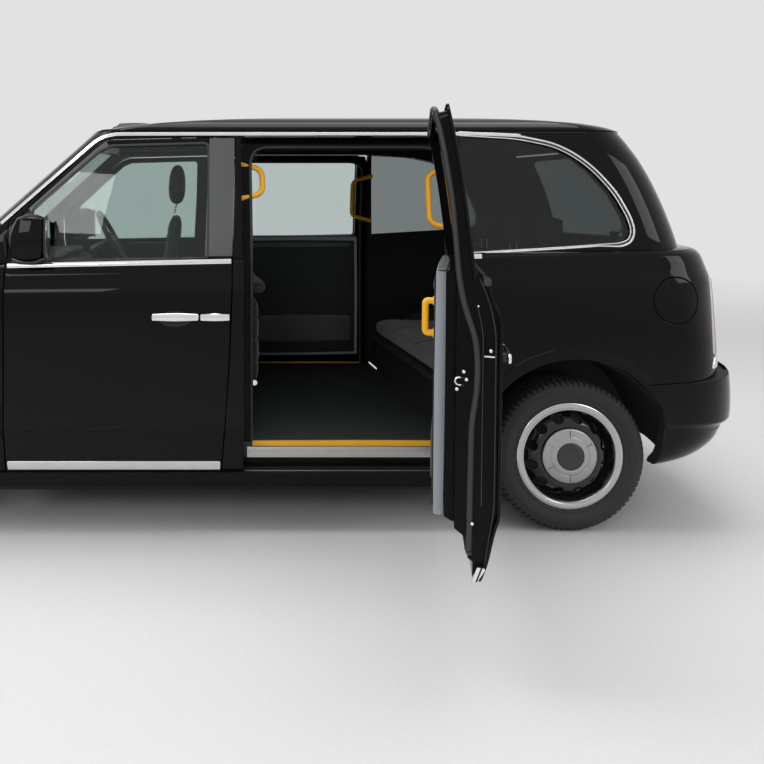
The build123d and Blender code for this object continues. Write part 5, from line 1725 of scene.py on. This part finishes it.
PLATE_Z = 905
x_plate = float(behind(0, PLATE_Z)[0])
put("rear_plate", pillow((x_plate - 2, -PLATE_HALF, 849), (x_plate + 6, PLATE_HALF, 961), (2, 6, 6), 6),
    "plate_yellow", "tailgate")
put("rear_plate_plinth", pillow((x_plate - 26, -272, 838), (x_plate + 0.5, 272, 972), (8, 14, 14), 6),
    "black_plastic", "tailgate")
screws = joined(*[turned_x([(-2.5, 0.3), (-2, 4), (0, 7)], (0, y, 0), 20) for y in (-SCREW_Y, SCREW_Y)])
put("rear_plate_screws", moved(rotated(screws, 180, "Z"), (x_plate + 6, 0, PLATE_Z)), "bright_trim", "tailgate")
grip = [(-4, 1004), (15, 1006), (17, 1022), (2, 1030)]
put("gate_handle", loft([[(behind(y, 1016)[0] + out, y, z) for out, z in grip] for y in np.linspace(-300, 300, 15)]),
    "bright_trim", "tailgate")
put("plate_lamps", joined(*[block(x_plate - 6, x_plate + 8, y - 34, y + 34, 988, 1002, 4) for y in (-150, 150)]),
    "pale_lens", "tailgate")
stop = rounded([(-170, 1718), (170, 1718), (170, 1731), (-170, 1731)], 4)
put("stop_lamp", panel_mesh(green.rear, stop, lift=5, r=3, depth=7), "lamp_red", "tailgate")
arm = [behind(y, z, off, green) for y, z, off in ((0, 1278, 22), (-40, 1290, 26), (-300, 1308, 20))]
blade = [behind(y, 1296 + 8 * math.sin(-y / 400 * math.pi), 9, green) for y in np.linspace(-60, -400, 12)]
pivot = turned_x([(22, 0.5), (22, 14), (-12, 18)], behind(0, 1276, 0, green), 24)
put("rear_wiper", joined(pipe(bend(arm, 30, 12), 6, 10, flat=0.6), pipe(blade, 5.5, 10), pivot), "black_plastic",
    "tailgate")
glint = rounded([(-742, 540), (-640, 540), (-640, 572), (-742, 572)], 8) * [-1, 1]
put("rear_reflector_{side}", panel_mesh(f_tail, to_q(bumper_form, bumper_form.yz(glint), 1),
                                        lift=4, r=2, depth=6, out=-1), "lamp_red")

# ---------------------------------------------------------------- studio
floor_mat, net, p = material("studio_floor", Roughness=0.65)
co = net.node("ShaderNodeTexCoord").outputs["Object"]
net.join(net.mix(noise(net, co, 60.0, 6), (0.60, 0.60, 0.595), (0.66, 0.66, 0.655)), p.inputs["Base Color"])
reach = net.node("ShaderNodeVectorMath", operation="LENGTH")
net.join(co, reach.inputs[0])
net.join(net.ramp(net.math("MULTIPLY", reach.outputs["Value"], 0.05), (0.26, 1.0), (0.36, 0.82), (0.52, 0.3),
                  (0.7, 0.0)), p.inputs["Alpha"])
floor_mesh = bpy.data.meshes.new("floor")
floor_mesh.from_pydata([(-30, -30, 0), (30, -30, 0), (30, 30, 0), (-30, 30, 0)], [], [(0, 1, 2, 3)])
floor_mesh.materials.append(floor_mat)
floor_mesh.shade_smooth()
floor = bpy.data.objects.new("floor", floor_mesh)
scene.collection.objects.link(floor)

world = bpy.data.worlds.new("studio")
scene.world = world
world.use_nodes = True
net = Net(world.node_tree)
back = world.node_tree.nodes["Background"]
path = net.node("ShaderNodeLightPath")
seen = net.math("MAXIMUM", path.outputs["Is Camera Ray"],
                net.math("MAXIMUM", path.outputs["Is Glossy Ray"], path.outputs["Is Transmission Ray"]))
sep = net.node("ShaderNodeSeparateXYZ")
net.join(net.node("ShaderNodeTexCoord").outputs["Generated"], sep.inputs[0])
sky = net.math("MULTIPLY", net.ramp(sep.outputs["Z"], (0.0, 0.16), (0.12, 0.2), (0.3, 0.62), (0.75, 1.0)), 0.9)
show = net.math("MULTIPLY", seen, 0.76)
net.join(net.math("MAXIMUM", sky, show), back.inputs["Strength"])
back.inputs["Color"].default_value = (1, 1, 1, 1)


def softbox(name, at, look, size, power):
    """Rectangular lamp, in metres and watts."""
    light = bpy.data.lights.new(name, "AREA")
    light.shape, light.size, light.size_y = "RECTANGLE", *size
    light.energy = power
    obj = bpy.data.objects.new(name, light)
    scene.collection.objects.link(obj)
    obj.location = at
    obj.rotation_euler = (Vector(look) - Vector(at)).to_track_quat("-Z", "Y").to_euler()


softbox("top_box", (0, -0.5, 4.6), (0, 0, 0), (6.5, 2.2), 185)
softbox("side_box", (-3.0, -6.5, 3.4), (0, 0, 0.9), (4.0, 1.6), 105)
softbox("rear_box", (5.5, -3.5, 3.0), (1.5, 0, 0.8), (2.2, 1.6), 42)

scene.view_settings.view_transform = "Standard"
